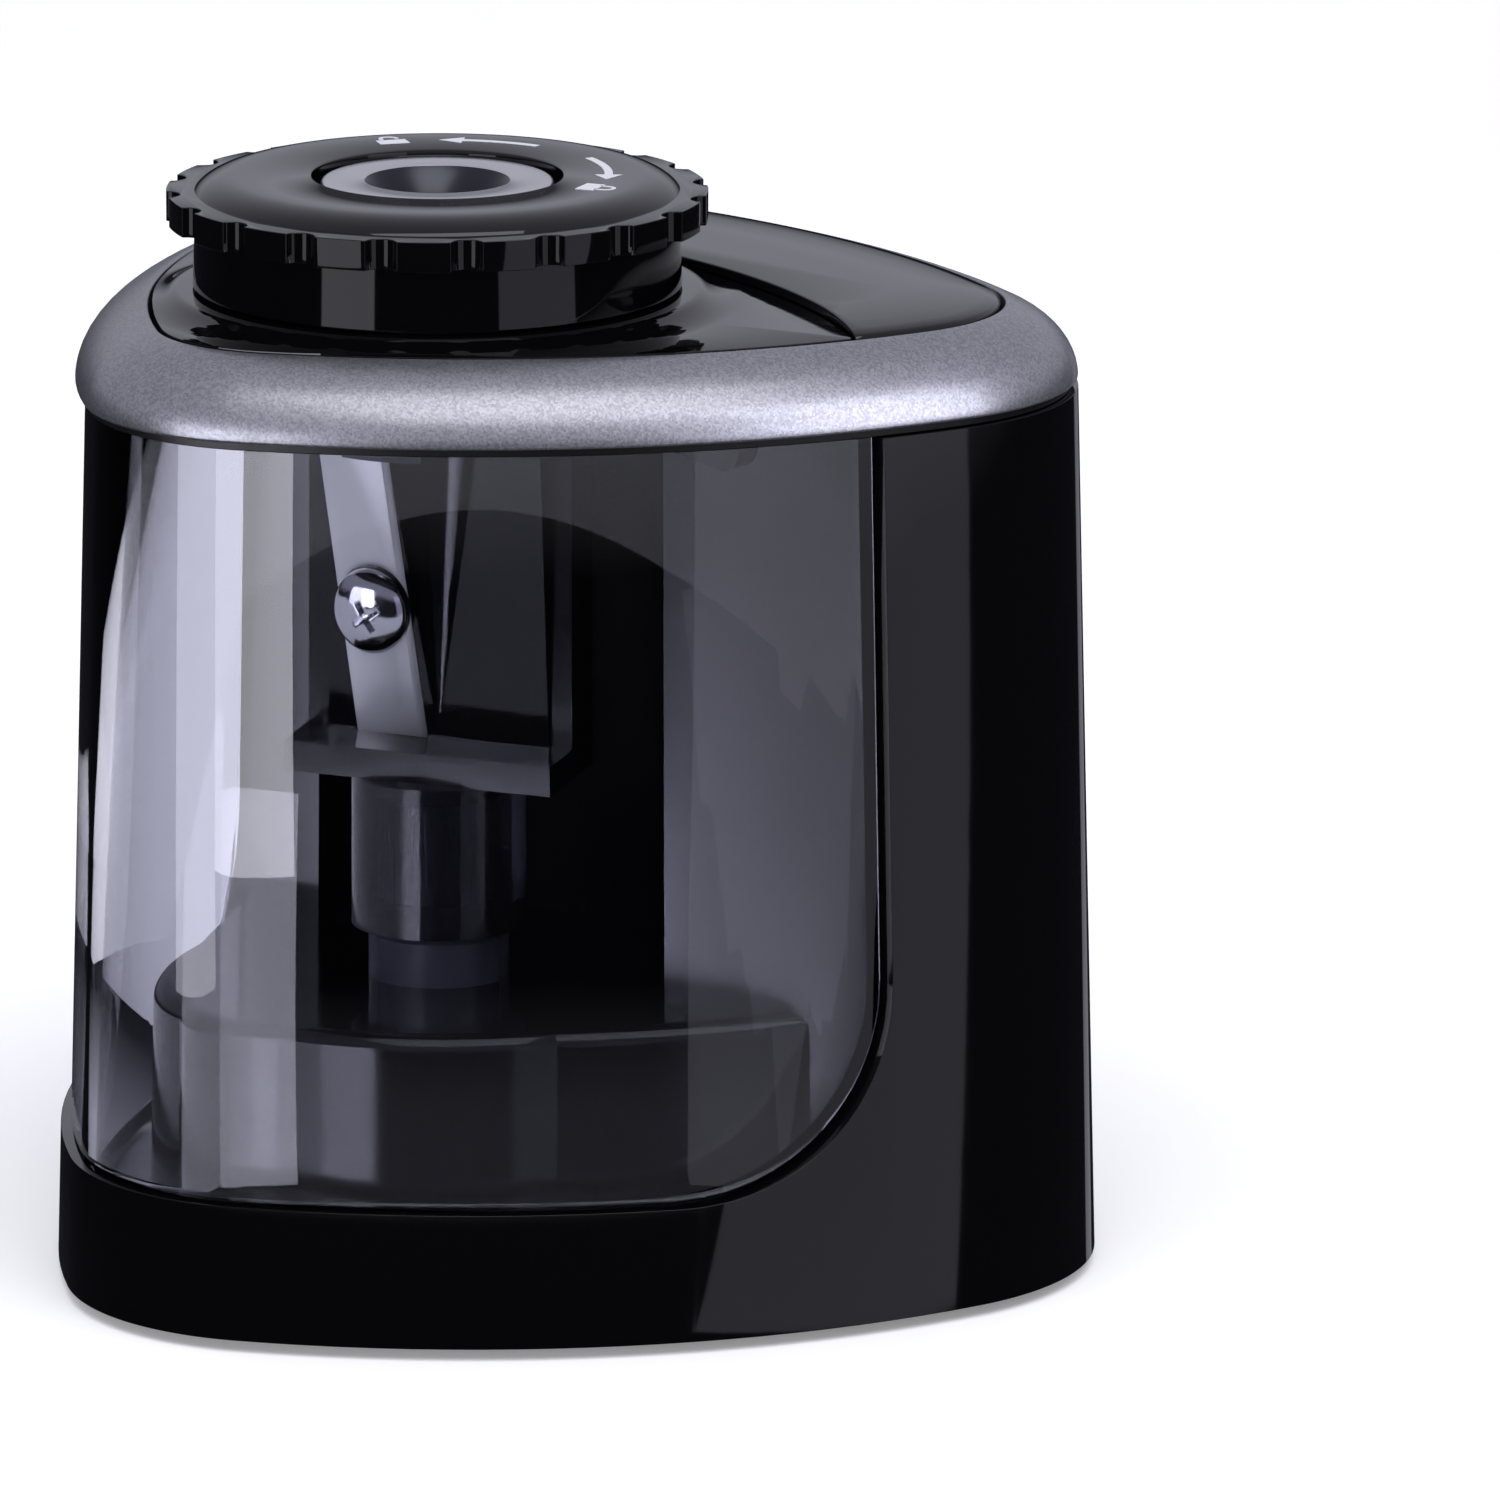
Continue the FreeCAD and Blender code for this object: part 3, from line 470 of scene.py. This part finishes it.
# Painted shade: a darker, rougher zinc plate for the bore, the funnel and the foot of the screw head.
painted_shade_zinc = ground_metal("zinc plate with painted shade", "#3a3b40", 0.30, (3.0, 3.0, 3.0), 0.002)
shaft_steel = ground_metal("ground steel", "#b4b5b8", 0.28, (0.2, 0.2, 6.0), 0.003)
plated_can = ground_metal("plated steel sheet", "#a9aaae", 0.33, (5.0, 5.0, 0.4), 0.004)
brass = ground_metal("machined brass", "#c8a25a", 0.25, (0.15, 0.15, 3.0), 0.004)
nickel_wire = ground_metal("nickel plated wire", "#bdbdba", 0.22, (0.6, 0.6, 0.6), 0.003)

# %% [markdown]
# ### Printed and wrapped finishes
# The knob's signs are white pad print, and each cell wears a shrunk plastic sleeve with a plain band.

# %% Print and sleeve
white_print = moulded("white pad print", "#e6e6ee", 0.40, 0.3, 0.004)
SLEEVE_BAND_Z = 48
sleeve, tree, skin, place = finish("shrink sleeve", "#1d4a52", 0.24)
heights = add(tree, "ShaderNodeSeparateXYZ", links={"Vector": place})
above = add(tree, "ShaderNodeMath", {1: SLEEVE_BAND_Z * MM}, {0: heights.outputs["Z"]},
            operation="GREATER_THAN")
coats = add(tree, "ShaderNodeMix", {6: colour("#1d4a52"), 7: colour("#c08a3c")},
            {"Factor": above.outputs["Value"]}, data_type="RGBA")
tree.links.new(coats.outputs[2], skin.inputs["Base Color"])
print("finishes:", len(bpy.data.materials))

# %% [markdown]
# ## Housing
# The housing is one ABS moulding. Its wall runs round the back and, as a low rim, under the window.
# A closed strip swung round the footprint gives the whole wall, and one rounded block cut out of it
# leaves the opening for the window, so that wall and window share one seam.

# %% Housing wall
WALL = 2.0
WALL_FOOT_Z = 0.9
FAR = 60


def wall_section(inset, thickness, z0, z1):
    """Section of a drafted wall that stands inset from the housing's face."""
    return [(lean(z0) + inset, z0), (lean(z1) + inset, z1),
            (lean(z1) + inset + thickness, z1), (lean(z0) + inset + thickness, z0)]


def front_space(gap):
    """The block that the window fills: ahead of the seam, above the rim, with one round corner."""
    seam_y, rim_z = SEAM_Y - gap, RIM_Z + gap
    space = block("front_space", (-FAR, FAR), (-FAR, seam_y), (rim_z, 90))
    edit(space)
    pick(space, "EDGE", lambda place, _: abs(place.y - seam_y) < 0.1 and abs(place.z - rim_z) < 0.1)
    bpy.ops.mesh.bevel(offset=SEAM_CORNER_R * MM, segments=20)
    bpy.ops.object.mode_set(mode="OBJECT")
    return space


housing = swing_round("housing_wall", wall_section(0, WALL, WALL_FOOT_Z, WALL_TOP_Z))
carve(housing, front_space(0))
soften(housing, 0.3)
fit(housing, "housing", "shell_black", gloss_abs, "housing_shell")

# %% [markdown]
# ## Shavings chamber
# Inside the window a floor catches the shavings, and a curved wall hides the cells and the motor. The
# floor is the footprint's own outline cut off behind the seam, with the gearbox's plan left free. The
# wall is drawn in plan, a hollow arc behind the cutter with a wing to each side, and then raised.

# %% Shavings chamber
FLOOR_Z = (8.7, 10.2)
DECK_INSET = 8.6
ARC_R, ARC_T = 19.2, 1.8
WING_X, WING_REACH, ARC_ENDS = 31.5, 40, (14.5, 19.8)
ARC_EDGE_X = 18.7
floor_plate = capped("chamber_floor", [(1.0, FLOOR_Z[0]), (1.0, FLOOR_Z[1])])
carve(floor_plate, block("floor_reach", (-FAR, FAR), (-FAR, SEAM_Y + 2), (0, 30)), "INTERSECT")
deck_plan = capped("deck_plan", [(DECK_INSET, 1), (DECK_INSET, 30)])
carve(deck_plan, block("deck_reach", (-FAR, FAR), (-FAR, SEAM_Y), (0, 40)), "INTERSECT")
carve(floor_plate, deck_plan)
carve(floor_plate, drum("deck_arc", ARC_R + ARC_T, 1, 30, sides=128))
fit(floor_plate, "housing", "shell_black", satin_abs, "housing_shell")

wing_y = SEAM_Y + SEAM_GAP
back_y = wing_y + ARC_T
inner_arc = arc(AXIS, ARC_R, ARC_ENDS[0], 180 - ARC_ENDS[0], 60)
outer_arc = arc(AXIS, ARC_R + ARC_T, 180 - ARC_ENDS[1], ARC_ENDS[1], 60)
outline = ([(WING_REACH, wing_y), (WING_X, wing_y)] + inner_arc
           + [(-WING_X, wing_y), (-WING_REACH, wing_y), (-WING_REACH, back_y), (-WING_X, back_y)]
           + outer_arc + [(WING_X, back_y), (WING_REACH, back_y)])
partition = slab("partition_wall", outline, FLOOR_Z[1], WALL_TOP_Z)
carve(partition, capped("chamber_space", [(lean(5) + 1, 5), (lean(75) + 1, 75)]), "INTERSECT")
smooth(partition)
# The hollow takes the ABS with painted shade, and the wings the ABS with painted light.
fit(partition, "housing", "shell_black", painted_shade_chamber_abs, "housing_shell")
refinish(partition, painted_light_wing_abs, lambda place, _: abs(place.x) > ARC_EDGE_X)

# %% [markdown]
# ## Window
# The window is a clear smoked drawer that slides out forwards to empty the shavings. It is the same
# kind of strip, a little inside the housing's face, and it keeps only what lies in the front space.

# %% Window
WINDOW_INSET = 0.75
WINDOW_T = 1.8
window = swing_round("window_shell", wall_section(WINDOW_INSET, WINDOW_T, RIM_Z - 1, WALL_TOP_Z))
carve(window, front_space(SEAM_GAP), "INTERSECT")
soften(window, 0.35)
fit(window, "window", "window_smoke", smoked_clear, "window")

# %% [markdown]
# ## Painted band
# A silver band caps the walls. Its face turns through most of a quarter ellipse, from upright at the
# wall to nearly flat at the covers, and its inside follows at a wall's thickness.

# %% Trim band
BAND_TURN = 70
BAND_T = 1.8
turn_cos, turn_sin = math.cos(math.radians(BAND_TURN)), math.sin(math.radians(BAND_TURN))
across_band = BAND_WIDTH / (1 - turn_cos)
rise_band = (COVER_Z - BAND_Z) / turn_sin


def band_line(inset, rise, start, stop, steps):
    """Points of the band's ellipse between two turns in degrees."""
    turns = [math.radians(start + (stop - start) * step / steps) for step in range(steps + 1)]
    return [(lean(BAND_Z) + inset + across_band * (1 - math.cos(turn)), BAND_Z + rise * math.sin(turn))
            for turn in turns]


inner_rise = rise_band - BAND_T / turn_sin
inner_stop = math.degrees(math.acos(1 - (BAND_WIDTH - BAND_T) / across_band))
band_face = band_line(0, rise_band, 0, BAND_TURN, 12)
band_back = band_line(BAND_T, inner_rise, inner_stop, 0, 6)
band = swing_round("band_shell", band_face + band_back)
soften(band, 0.22, 35)
fit(band, "housing", "trim_silver", silver_paint, "trim_band")

# %% [markdown]
# ## Top covers
# Two black covers fill the band. The front one carries a low round collar for the knob: it is the
# footprint's plan, kept only where it meets a turned profile that holds the flat top and the collar's
# fillet.

# %% Front cover
COVER_INSET = lean(BAND_Z) + BAND_WIDTH + 0.3
SEAM_CENTRE = Vector((0, -45.3))
SEAM_R = 59.4
COVER_GAP = 0.3
COLLAR_R, COLLAR_Z = 18.7, 72.3
COLLAR_BORE = 15.2
FILLET_R, FILLET_X = 5.0, 21.9
fillet = arc((FILLET_X, COVER_Z + FILLET_R), FILLET_R, 270, 239, 10)
profile = [(COLLAR_BORE, 69), (70, 69), (70, COVER_Z)] + fillet + [
    (COLLAR_R + 0.3, COLLAR_Z - 0.03), (COLLAR_R, COLLAR_Z), (COLLAR_BORE, COLLAR_Z)]
cover = capped("cover_plate", [(COVER_INSET, COVER_Z - COVER_T), (COVER_INSET, 74)])
carve(cover, turned("collar_profile", profile, 160), "INTERSECT")
carve(cover, drum("seam_disc", SEAM_R - COVER_GAP / 2, 60, 90, *SEAM_CENTRE, 256), "INTERSECT")
soften(cover, 0.22, 35)
fit(cover, "housing", "shell_black", gloss_abs, "front_cover")

# %% [markdown]
# ### Battery lid
# The rear cover lifts off to change the cells. It is the rest of the same plan, with a slight crown
# that a row of points lays in along the edge, and two posts that press the contact bridge down.

# %% Battery lid
CELL_X, CELL_Y = 20.2, 18.6
POST_R, POST_FOOT_Z = 2.5, 60.9
CROWN = [(0, -COVER_T), (0, -0.15), (0.12, 0.05), (0.4, 0.2), (1.4, 0.36), (3.2, 0.52), (5.6, 0.64),
         (8.0, 0.7)]
lid = capped("lid_plate", [(COVER_INSET + inwards, COVER_Z + up) for inwards, up in CROWN])
carve(lid, drum("seam_disc", SEAM_R + COVER_GAP / 2, 60, 90, *SEAM_CENTRE, 256))
soften(lid, 0.22, 35)
for x in (CELL_X, -CELL_X):
    carve(lid, drum("post", POST_R, POST_FOOT_Z, COVER_Z - COVER_T + 0.5, x, CELL_Y, 32), "UNION")
smooth(lid)
fit(lid, "battery_lid", "shell_black", gloss_abs, "battery_lid")

# %% [markdown]
# ## Knob
# The knob turns to free the cutter. Its skirt and crown are one turned profile. The grip is a disc
# with a shallow valley cut twenty times round its edge, which leaves twenty finger lobes.

# %% Turning knob
LOBES = 20
LOBE_R = 19.45
LOBE_Z = (77.2, 79.4)
KNOB_Z = 80.46
BUSHING_R, RECESS_R, RECESS_Z = 6.0, 9.0, 78.6
VALLEY_R, VALLEY_OUT = 1.15, 0.2
SKIRT_R, SKIRT_BORE, SKIRT_Z, CEILING_Z = 17.6, 15.8, 72.6, 77.2
SHOULDER_R, SHOULDER_WIDE, SHOULDER_HIGH = 14.6, 3.2, 2.0
valleys = drum("valleys", VALLEY_R, 70, 90, 0, AXIS.y - LOBE_R - VALLEY_OUT, 24)
edit(valleys)
bpy.ops.mesh.select_all(action="SELECT")
bpy.ops.mesh.spin(steps=LOBES, angle=2 * math.pi, dupli=True, center=AXIS_POINT, axis=(0, 0, 1))
outwards(valleys)
grip = drum("grip", LOBE_R, *LOBE_Z, sides=240)
carve(grip, valleys)
carve(grip, drum("grip_bore", 16.5, 70, 90, sides=96))
soften(grip, 0.5, 20, 4)

skirt = [(BUSHING_R, CEILING_Z), (SKIRT_BORE, CEILING_Z), (SKIRT_BORE, SKIRT_Z), (SKIRT_R, SKIRT_Z),
         (SKIRT_R - 0.2, CEILING_Z + 0.4)]
shoulder = [(SHOULDER_R + SHOULDER_WIDE * u, KNOB_Z + SHOULDER_HIGH * (v - 1))
            for u, v in arc((0, 0), 1.0, 0, 90, 14)]
recess = [(RECESS_R + 0.25, KNOB_Z), (RECESS_R + 0.06, KNOB_Z - 0.08), (RECESS_R, KNOB_Z - 0.3),
          (RECESS_R, RECESS_Z), (BUSHING_R, RECESS_Z)]
knob = turned("knob_body", skirt + shoulder + recess, 192)
carve(knob, grip, "UNION")
smooth(knob, 35)
fit(knob, "knob", "shell_black", gloss_abs, "turn_knob")

# %% [markdown]
# ## Pencil bushing
# The pencil goes in through a turned disc with a funnel, which stands in a recess of the knob. One
# profile turned on the pencil's axis has the bore, the funnel and the small round of the disc's edge.
# The funnel and the bore take a darker metal than the disc's top, as painted shade in the hole.

# %% Pencil bushing
BORE_R, DISC_R, DISC_Z, RIM_R = 4.0, 8.4, 80.1, 0.4
SLEEVE_FOOT_Z, SLEEVE_BEVEL = 65.0, 0.6
BORE_SHADE_R, BORE_SHADE_Z = 4.95, 79.9
funnel = [(5.35, DISC_Z), (5.2, 80.02), (4.12, 78.3), (BORE_R, 78.0)]
rim = arc((DISC_R - RIM_R, DISC_Z - RIM_R), RIM_R, 0, 90, 6)
tube = [(BORE_R, SLEEVE_FOOT_Z), (BUSHING_R - SLEEVE_BEVEL, SLEEVE_FOOT_Z),
        (BUSHING_R, SLEEVE_FOOT_Z + SLEEVE_BEVEL), (BUSHING_R, RECESS_Z), (DISC_R, RECESS_Z)]
bushing = turned("bushing_disc", tube + rim + funnel, 128)
smooth(bushing)
fit(bushing, "knob", "bushing_satin", turned_aluminium, "pencil_bushing")
# Painted shade: faces inside the bore and the funnel take the darker zinc plate.
refinish(bushing, painted_shade_zinc,
         lambda place, _: math.hypot(place.x, place.y - AXIS.y) < BORE_SHADE_R and place.z < BORE_SHADE_Z)

# %% [markdown]
# ### Signs on the knob
# Two pairs of white printed signs say which way to turn: an arrow to an open padlock and an arrow to
# a shut one. Each is a flat outline raised by a film's thickness, and all are joined into one print.

# %% Printed signs
PRINT_Z = (KNOB_Z - 0.03, KNOB_Z + 0.03)
ARROW_HEAD = 8


def arrow(name, radius, start, stop):
    """A curved arrow about the pencil axis; angles are degrees from the knob's mark."""
    start, stop = start + VIEW_TURN, stop + VIEW_TURN
    point = math.copysign(ARROW_HEAD, stop - start)
    outline = (arc(AXIS, radius + 0.3, start, stop, 8) + arc(AXIS, radius + 1.0, stop, stop, 1)[:1]
               + arc(AXIS, radius, stop + point, stop, 1)[:1] + arc(AXIS, radius - 1.0, stop, stop, 1)[:1]
               + arc(AXIS, radius - 0.3, stop, start, 8))
    return slab(name, outline, *PRINT_Z)


def padlock(name, radius, angle, lift):
    """A padlock that stands outwards from the axis; lift opens its shackle on one side."""
    turn = math.radians(angle + VIEW_TURN)
    out, along = Vector((math.cos(turn), math.sin(turn))), Vector((-math.sin(turn), math.cos(turn)))
    centre = AXIS + out * radius

    def lay(points):
        return [tuple(centre + along * u + out * v) for u, v in points]

    body = slab(name, lay([(-1.1, -0.9), (1.1, -0.9), (1.1, 0.5), (-1.1, 0.5)]), *PRINT_Z)
    shackle = slab("shackle", lay([(0.75, 0.4)] + arc((0, 1.0), 0.75, 0, 180, 10) + [(-0.75, 0.4 + lift),
                   (-0.45, 0.4 + lift)] + arc((0, 1.0), 0.45, 180, 0, 10) + [(0.45, 0.4)]), *PRINT_Z)
    return [body, shackle]


signs = [arrow("knob_signs", 12.5, 55, 82), arrow("arrow_back", 12.3, 28, -2)]
signs += padlock("padlock_open", 12.4, 106, 0.5) + padlock("padlock_shut", 12.2, -24, 0)
only(signs[0])
for sign in signs:
    sign.select_set(True)
bpy.ops.object.join()
fit(signs[0], "knob", "shell_black", white_print)

# %% [markdown]
# ## Blade
# The blade is a steel strip with one ground edge, which cuts along the side of the pencil's cone. It
# is modelled upright about the middle of that edge, so one matrix can tilt it, lean it, and turn it
# with the cutter. The screw goes through the same matrix.

# %% Place of the cutting edge
CUTTER_TURN, BLADE_LEAN, BLADE_TILT = 27.2, 4.8, -7.5
EDGE_MIDDLE = Vector((-2.1, -0.87, 47.8))


def shifted(x, y, z):
    """Matrix of a move in millimetres."""
    return Matrix.Translation(Vector((x, y, z)) * MM)


def rotated(angle, axis):
    """Matrix of a turn in degrees about an axis."""
    return Matrix.Rotation(math.radians(angle), 4, axis)


on_axis = shifted(0, AXIS.y, 0)
seat = (on_axis @ rotated(CUTTER_TURN, "Z") @ shifted(*EDGE_MIDDLE)
        @ rotated(BLADE_LEAN, "X") @ rotated(BLADE_TILT, "Y"))
print("cutting edge, mm:", [round(value / MM, 1) for value in seat.translation])

# %% Blade
BLADE_W, BLADE_T, BLADE_L = 5.2, 0.5, 22.0
GRIND = 0.42
strip = block("blade_strip", (-BLADE_W, 0), (-BLADE_T, 0), (-BLADE_L / 2, BLADE_L / 2))
edit(strip)
pick(strip, "EDGE",
     lambda place, _: place.x > -0.01 and abs(place.y + BLADE_T) < 0.01 and abs(place.z) < 0.01)
bpy.ops.mesh.bevel(offset=GRIND * MM, segments=1)
bpy.ops.object.mode_set(mode="OBJECT")
soften(strip, 0.04, 30, 1)
mount(strip, seat)
fit(strip, "spindle", "blade_steel", blade_steel, "blade")

# %% [markdown]
# ### Blade screw
# A domed head with a cross recess holds the blade. The dome is a turned profile, and two tapered bars
# cut the cross. The foot of the head takes the darker zinc plate, a painted shadow ring where it sits on
# the blade.

# %% Blade screw
HEAD_R, HEAD_H, FOOT_H = 2.85, 1.9, 0.55
SLOT_LONG, SLOT_WIDE, SLOT_FLOOR, SLOT_TAPER = 1.55, 0.34, 0.75, 0.45
SHANK_R, SHANK_L, SCREW_Z, SCREW_TURN = 1.5, 5.0, -0.9, 25
AXIS_GAP = 0.02
dome = [(HEAD_R, 0.0), (HEAD_R, FOOT_H)]
for step in range(1, 8):
    angle = math.radians(12 * step)
    dome.append((HEAD_R * math.cos(angle), FOOT_H + (HEAD_H - FOOT_H) * math.sin(angle)))
outline = [(AXIS_GAP, 0.0)] + dome + [(AXIS_GAP, HEAD_H)]
head = draw("screw_head", [(0.0, radius, z) for radius, z in outline], True)
bpy.ops.mesh.select_mode(type="EDGE")
bpy.ops.mesh.select_all(action="SELECT")
bpy.ops.mesh.spin(steps=48, angle=2 * math.pi, center=(0, 0, 0), axis=(0, 0, 1))
outwards(head)
for half_x, half_y in ((SLOT_LONG, SLOT_WIDE), (SLOT_WIDE, SLOT_LONG)):
    bar = block("slot_bar", (-half_x, half_x), (-half_y, half_y), (SLOT_FLOOR, 3.0))
    edit(bar)
    pick(bar, "FACE", lambda place, _: place.z < 1)
    bpy.ops.transform.resize(value=(SLOT_TAPER, SLOT_TAPER, 1))
    bpy.ops.object.mode_set(mode="OBJECT")
    carve(head, bar)
carve(head, drum("shank", SHANK_R, -SHANK_L, 0.2, 0, 0, 24), "UNION")
soften(head, 0.09, 35, 2)
lay_flat = seat @ shifted(-BLADE_W / 2, -BLADE_T, SCREW_Z) @ rotated(90, "X")
mount(head, lay_flat @ rotated(SCREW_TURN, "Z"))
fit(head, "spindle", "screw_zinc", zinc_plate, "blade_screw")
upright = lay_flat.inverted()
# Painted shadow: the foot of the head is darkened into a ring where it sits on the blade.
refinish(head, painted_shade_zinc, lambda place, _: (upright @ (place * MM)).z < (FOOT_H + 0.05) * MM)

# %% [markdown]
# ## Return spring
# A coil of wire under the thrust cup lifts the cutter when the pencil is taken out. The Screw
# modifier winds a small circle up the axis.

# %% Return spring
foot_z, cup_z = (corner[2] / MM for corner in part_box("return_spring"))
COIL_R, WIRE_R, COILS, PRESS, CUP_GAP = 3.7, 0.3, 4, 1.2, 0.05
wire = starts("return_coil", bpy.ops.mesh.primitive_circle_add, vertices=12, radius=WIRE_R * MM,
              rotation=(math.pi / 2, 0, 0), location=(COIL_R * MM, 0, (foot_z + WIRE_R) * MM))
rise = (cup_z - foot_z - 2 * WIRE_R - CUP_GAP) / COILS
modify(wire, "SCREW", axis="Z", angle=2 * math.pi, screw_offset=rise * MM, iterations=COILS,
       steps=32, render_steps=32)
edit(wire)
bpy.ops.mesh.select_all(action="SELECT")
bpy.ops.mesh.fill_holes(sides=0)
outwards(wire)
smooth(wire)
mount(wire, on_axis)
fit(wire, "housing", "screw_zinc", nickel_wire, "return_spring")
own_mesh(wire)

# %% [markdown]
# ## Finishes of the engineering parts
# What shows through the window and under the lid keeps its engineering shape. Each part gets the
# finish of the material it is made of, in its object's own material slots.

# %% Dress the frame
DRESS = {
    inner_abs: ["gear_plate", "base_plate", "top_frame", "thrust_cup", "press_switch", "cell_tube_right",
                "cell_tube_left"],
    satin_abs: ["gear_deck", "cutter_frame", "sharpener_body"],
    smoked_grey: ["shaft_bush", "bayonet_ring"],
    smoked_dark: ["coupling"],
    white_acetal: ["motor_end_cap"],
    gear_acetal: ["output_gear", "idler_gear"],
    zinc_plate: ["base_screw_front_left", "base_screw_front_right", "base_screw_rear_left",
                 "base_screw_rear_right"],
    nickel_wire: ["cell_spring_left", "cell_spring_right", "contact_bridge"],
    shaft_steel: ["output_shaft", "idler_axle", "motor_shaft"],
    plated_can: ["motor_can"],
    brass: ["motor_pinion", "motor_armature"],
    sleeve: ["cell_right", "cell_left"],
    foot_rubber: ["foot_rear_right", "foot_front_right", "foot_rear_left", "foot_front_left"],
}
for dress, names in DRESS.items():
    for name in names:
        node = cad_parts[name]
        if not node.material_slots:
            node.data.materials.append(dress)
        for place in node.material_slots:
            place.material = dress
print("dressed", sum(len(names) for names in DRESS.values()), "parts")

# %% [markdown]
# ## Studio
# Gloss black shows only what it mirrors, so the light is planned as a set of mirror pictures. The sky
# is grey above and dark below. The far floor is neither mirrored nor seen through the window, which
# keeps the walls deep, and a near strip of floor behind the nose shows pale through the window.

# %% Floors and sky
pale = moulded("pale floor", "#ffffff", 0.9, 40.0, 0.01,
               **{"Emission Color": colour("#ffffff"), "Emission Strength": 0.22})
far_floor = starts("far_floor", bpy.ops.mesh.primitive_plane_add, size=30, location=(0, 0, -0.0002))
near_floor = starts("near_floor", bpy.ops.mesh.primitive_plane_add, size=1, location=(-0.303, 0.244, 0),
                    rotation=(0, 0, math.radians(VIEW_TURN)), scale=(0.066, 0.74, 1))
for floor in (far_floor, near_floor):
    floor.data.materials.append(pale)
    floor.visible_glossy = False
far_floor.visible_transmission = False

world = bpy.data.worlds.new("studio sky")
bpy.context.scene.world = world
world.use_nodes = True
tree = world.node_tree
tree.nodes.clear()
way = add(tree, "ShaderNodeTexCoord").outputs["Generated"]
height = add(tree, "ShaderNodeSeparateXYZ", links={"Vector": way})
sky = add(tree, "ShaderNodeValToRGB", links={"Fac": height.outputs["Z"]})
sky.color_ramp.elements[0].position = 0.0
sky.color_ramp.elements[0].color = colour("#1c1c22")
sky.color_ramp.elements[1].position = 0.16
sky.color_ramp.elements[1].color = colour("#c0c0cc")
glow = add(tree, "ShaderNodeBackground", {"Strength": 1.0}, {"Color": sky.outputs["Color"]})
add(tree, "ShaderNodeOutputWorld", links={"Surface": glow.outputs["Background"]})

# %% [markdown]
# ### Softboxes
# Upright panels stand round the sharpener, each sized for the streak that it leaves. A streak that
# suits the window would spoil the rim below it, so light linking lets some panels light only the
# pieces named, or all but those. A large panel above is the key light.

# %% Softboxes
TARGET = Vector((11.9, -4.15, 40)) * MM
COOL, VIOLET, WHITE = "#f4f4ff", "#f0eeff", "#ffffff"


def share(panel, state, *pieces):
    """Let a panel light only the given pieces, or everything but them."""
    group = bpy.data.collections.new(panel.name + "_pieces")
    for piece in pieces:
        group.objects.link(piece)
    for entry in group.collection_objects:
        entry.light_linking.link_state = state
    panel.light_linking.receiver_collection = group


def softbox(name, azimuth, distance, width, heights, glow, tone):
    """An upright panel of light; azimuth 0 is ahead of the nose and 90 at its right."""
    turn = math.radians(azimuth)
    low, high = heights
    lamp = bpy.data.lights.new(name, "AREA")
    lamp.shape = "RECTANGLE"
    lamp.size, lamp.size_y = width, high - low
    lamp.energy = glow * math.pi * width * (high - low)
    lamp.color = colour(tone)[:3]
    panel = bpy.data.objects.new(name, lamp)
    bpy.context.scene.collection.objects.link(panel)
    panel.location = (distance * math.sin(turn), -distance * math.cos(turn), (low + high) / 2)
    panel.rotation_euler = (math.pi / 2, 0, turn)
    return panel


share(softbox("front_box", 2, 1.0, 0.81, (-0.30, 0.27), 5.0, COOL), "EXCLUDE",
      housing, knob, window, floor_plate)
share(softbox("nose_box", -9, 1.0, 0.41, (-0.30, 0.27), 4.4, COOL), "INCLUDE", window)
share(softbox("dim_box", 5.5, 1.0, 0.46, (-0.30, 0.16), 1.5, COOL), "INCLUDE", knob, floor_plate)
share(softbox("band_box", 103, 1.2, 0.80, (-0.2, 1.2), 4.6, COOL), "INCLUDE", band)
share(softbox("upper_nose_box", 12.7, 1.0, 0.36, (-0.199, 0.27), 8.0, COOL), "INCLUDE", window)
softbox("right_box", 95, 0.8, 0.56, (-0.40, 0.25), 0.7, VIOLET)
softbox("edge_box", 201, 0.51, 0.10, (-0.20, 0.05), 0.35, VIOLET)
key = softbox("top_box", 60, 0.7, 1.2, (0.7, 1.9), 2.6, WHITE)
key.rotation_euler = (TARGET - key.location).to_track_quat("-Z", "Y").to_euler()
print("lamps:", len(bpy.data.lights))

# %% [markdown]
# ## Camera
# A long lens from the right of the nose, a little above. The object stands left of the middle, so the
# camera is turned slightly to the right and keeps its lens unshifted.

# %% Camera
AZIMUTH, ELEVATION = math.radians(VIEW_TURN), math.radians(14.04)
DISTANCE, LENS, SENSOR = 845.6 * MM, 281.9, 36
TURN_RIGHT, TURN_DOWN = -0.863, -0.024
camera_data = bpy.data.cameras.new("camera")
camera_data.sensor_width = SENSOR
camera_data.lens = LENS
camera = bpy.data.objects.new("camera", camera_data)
bpy.context.scene.collection.objects.link(camera)
away = Vector((math.sin(AZIMUTH) * math.cos(ELEVATION), -math.cos(AZIMUTH) * math.cos(ELEVATION),
               math.sin(ELEVATION)))
aim = (-away).to_track_quat("-Z", "Y").to_matrix().to_4x4()
nudge = rotated(TURN_RIGHT, "Y") @ rotated(TURN_DOWN, "X")
camera.matrix_world = Matrix.Translation(TARGET + away * DISTANCE) @ aim @ nudge
bpy.context.scene.camera = camera
bpy.context.scene.view_settings.view_transform = "Standard"
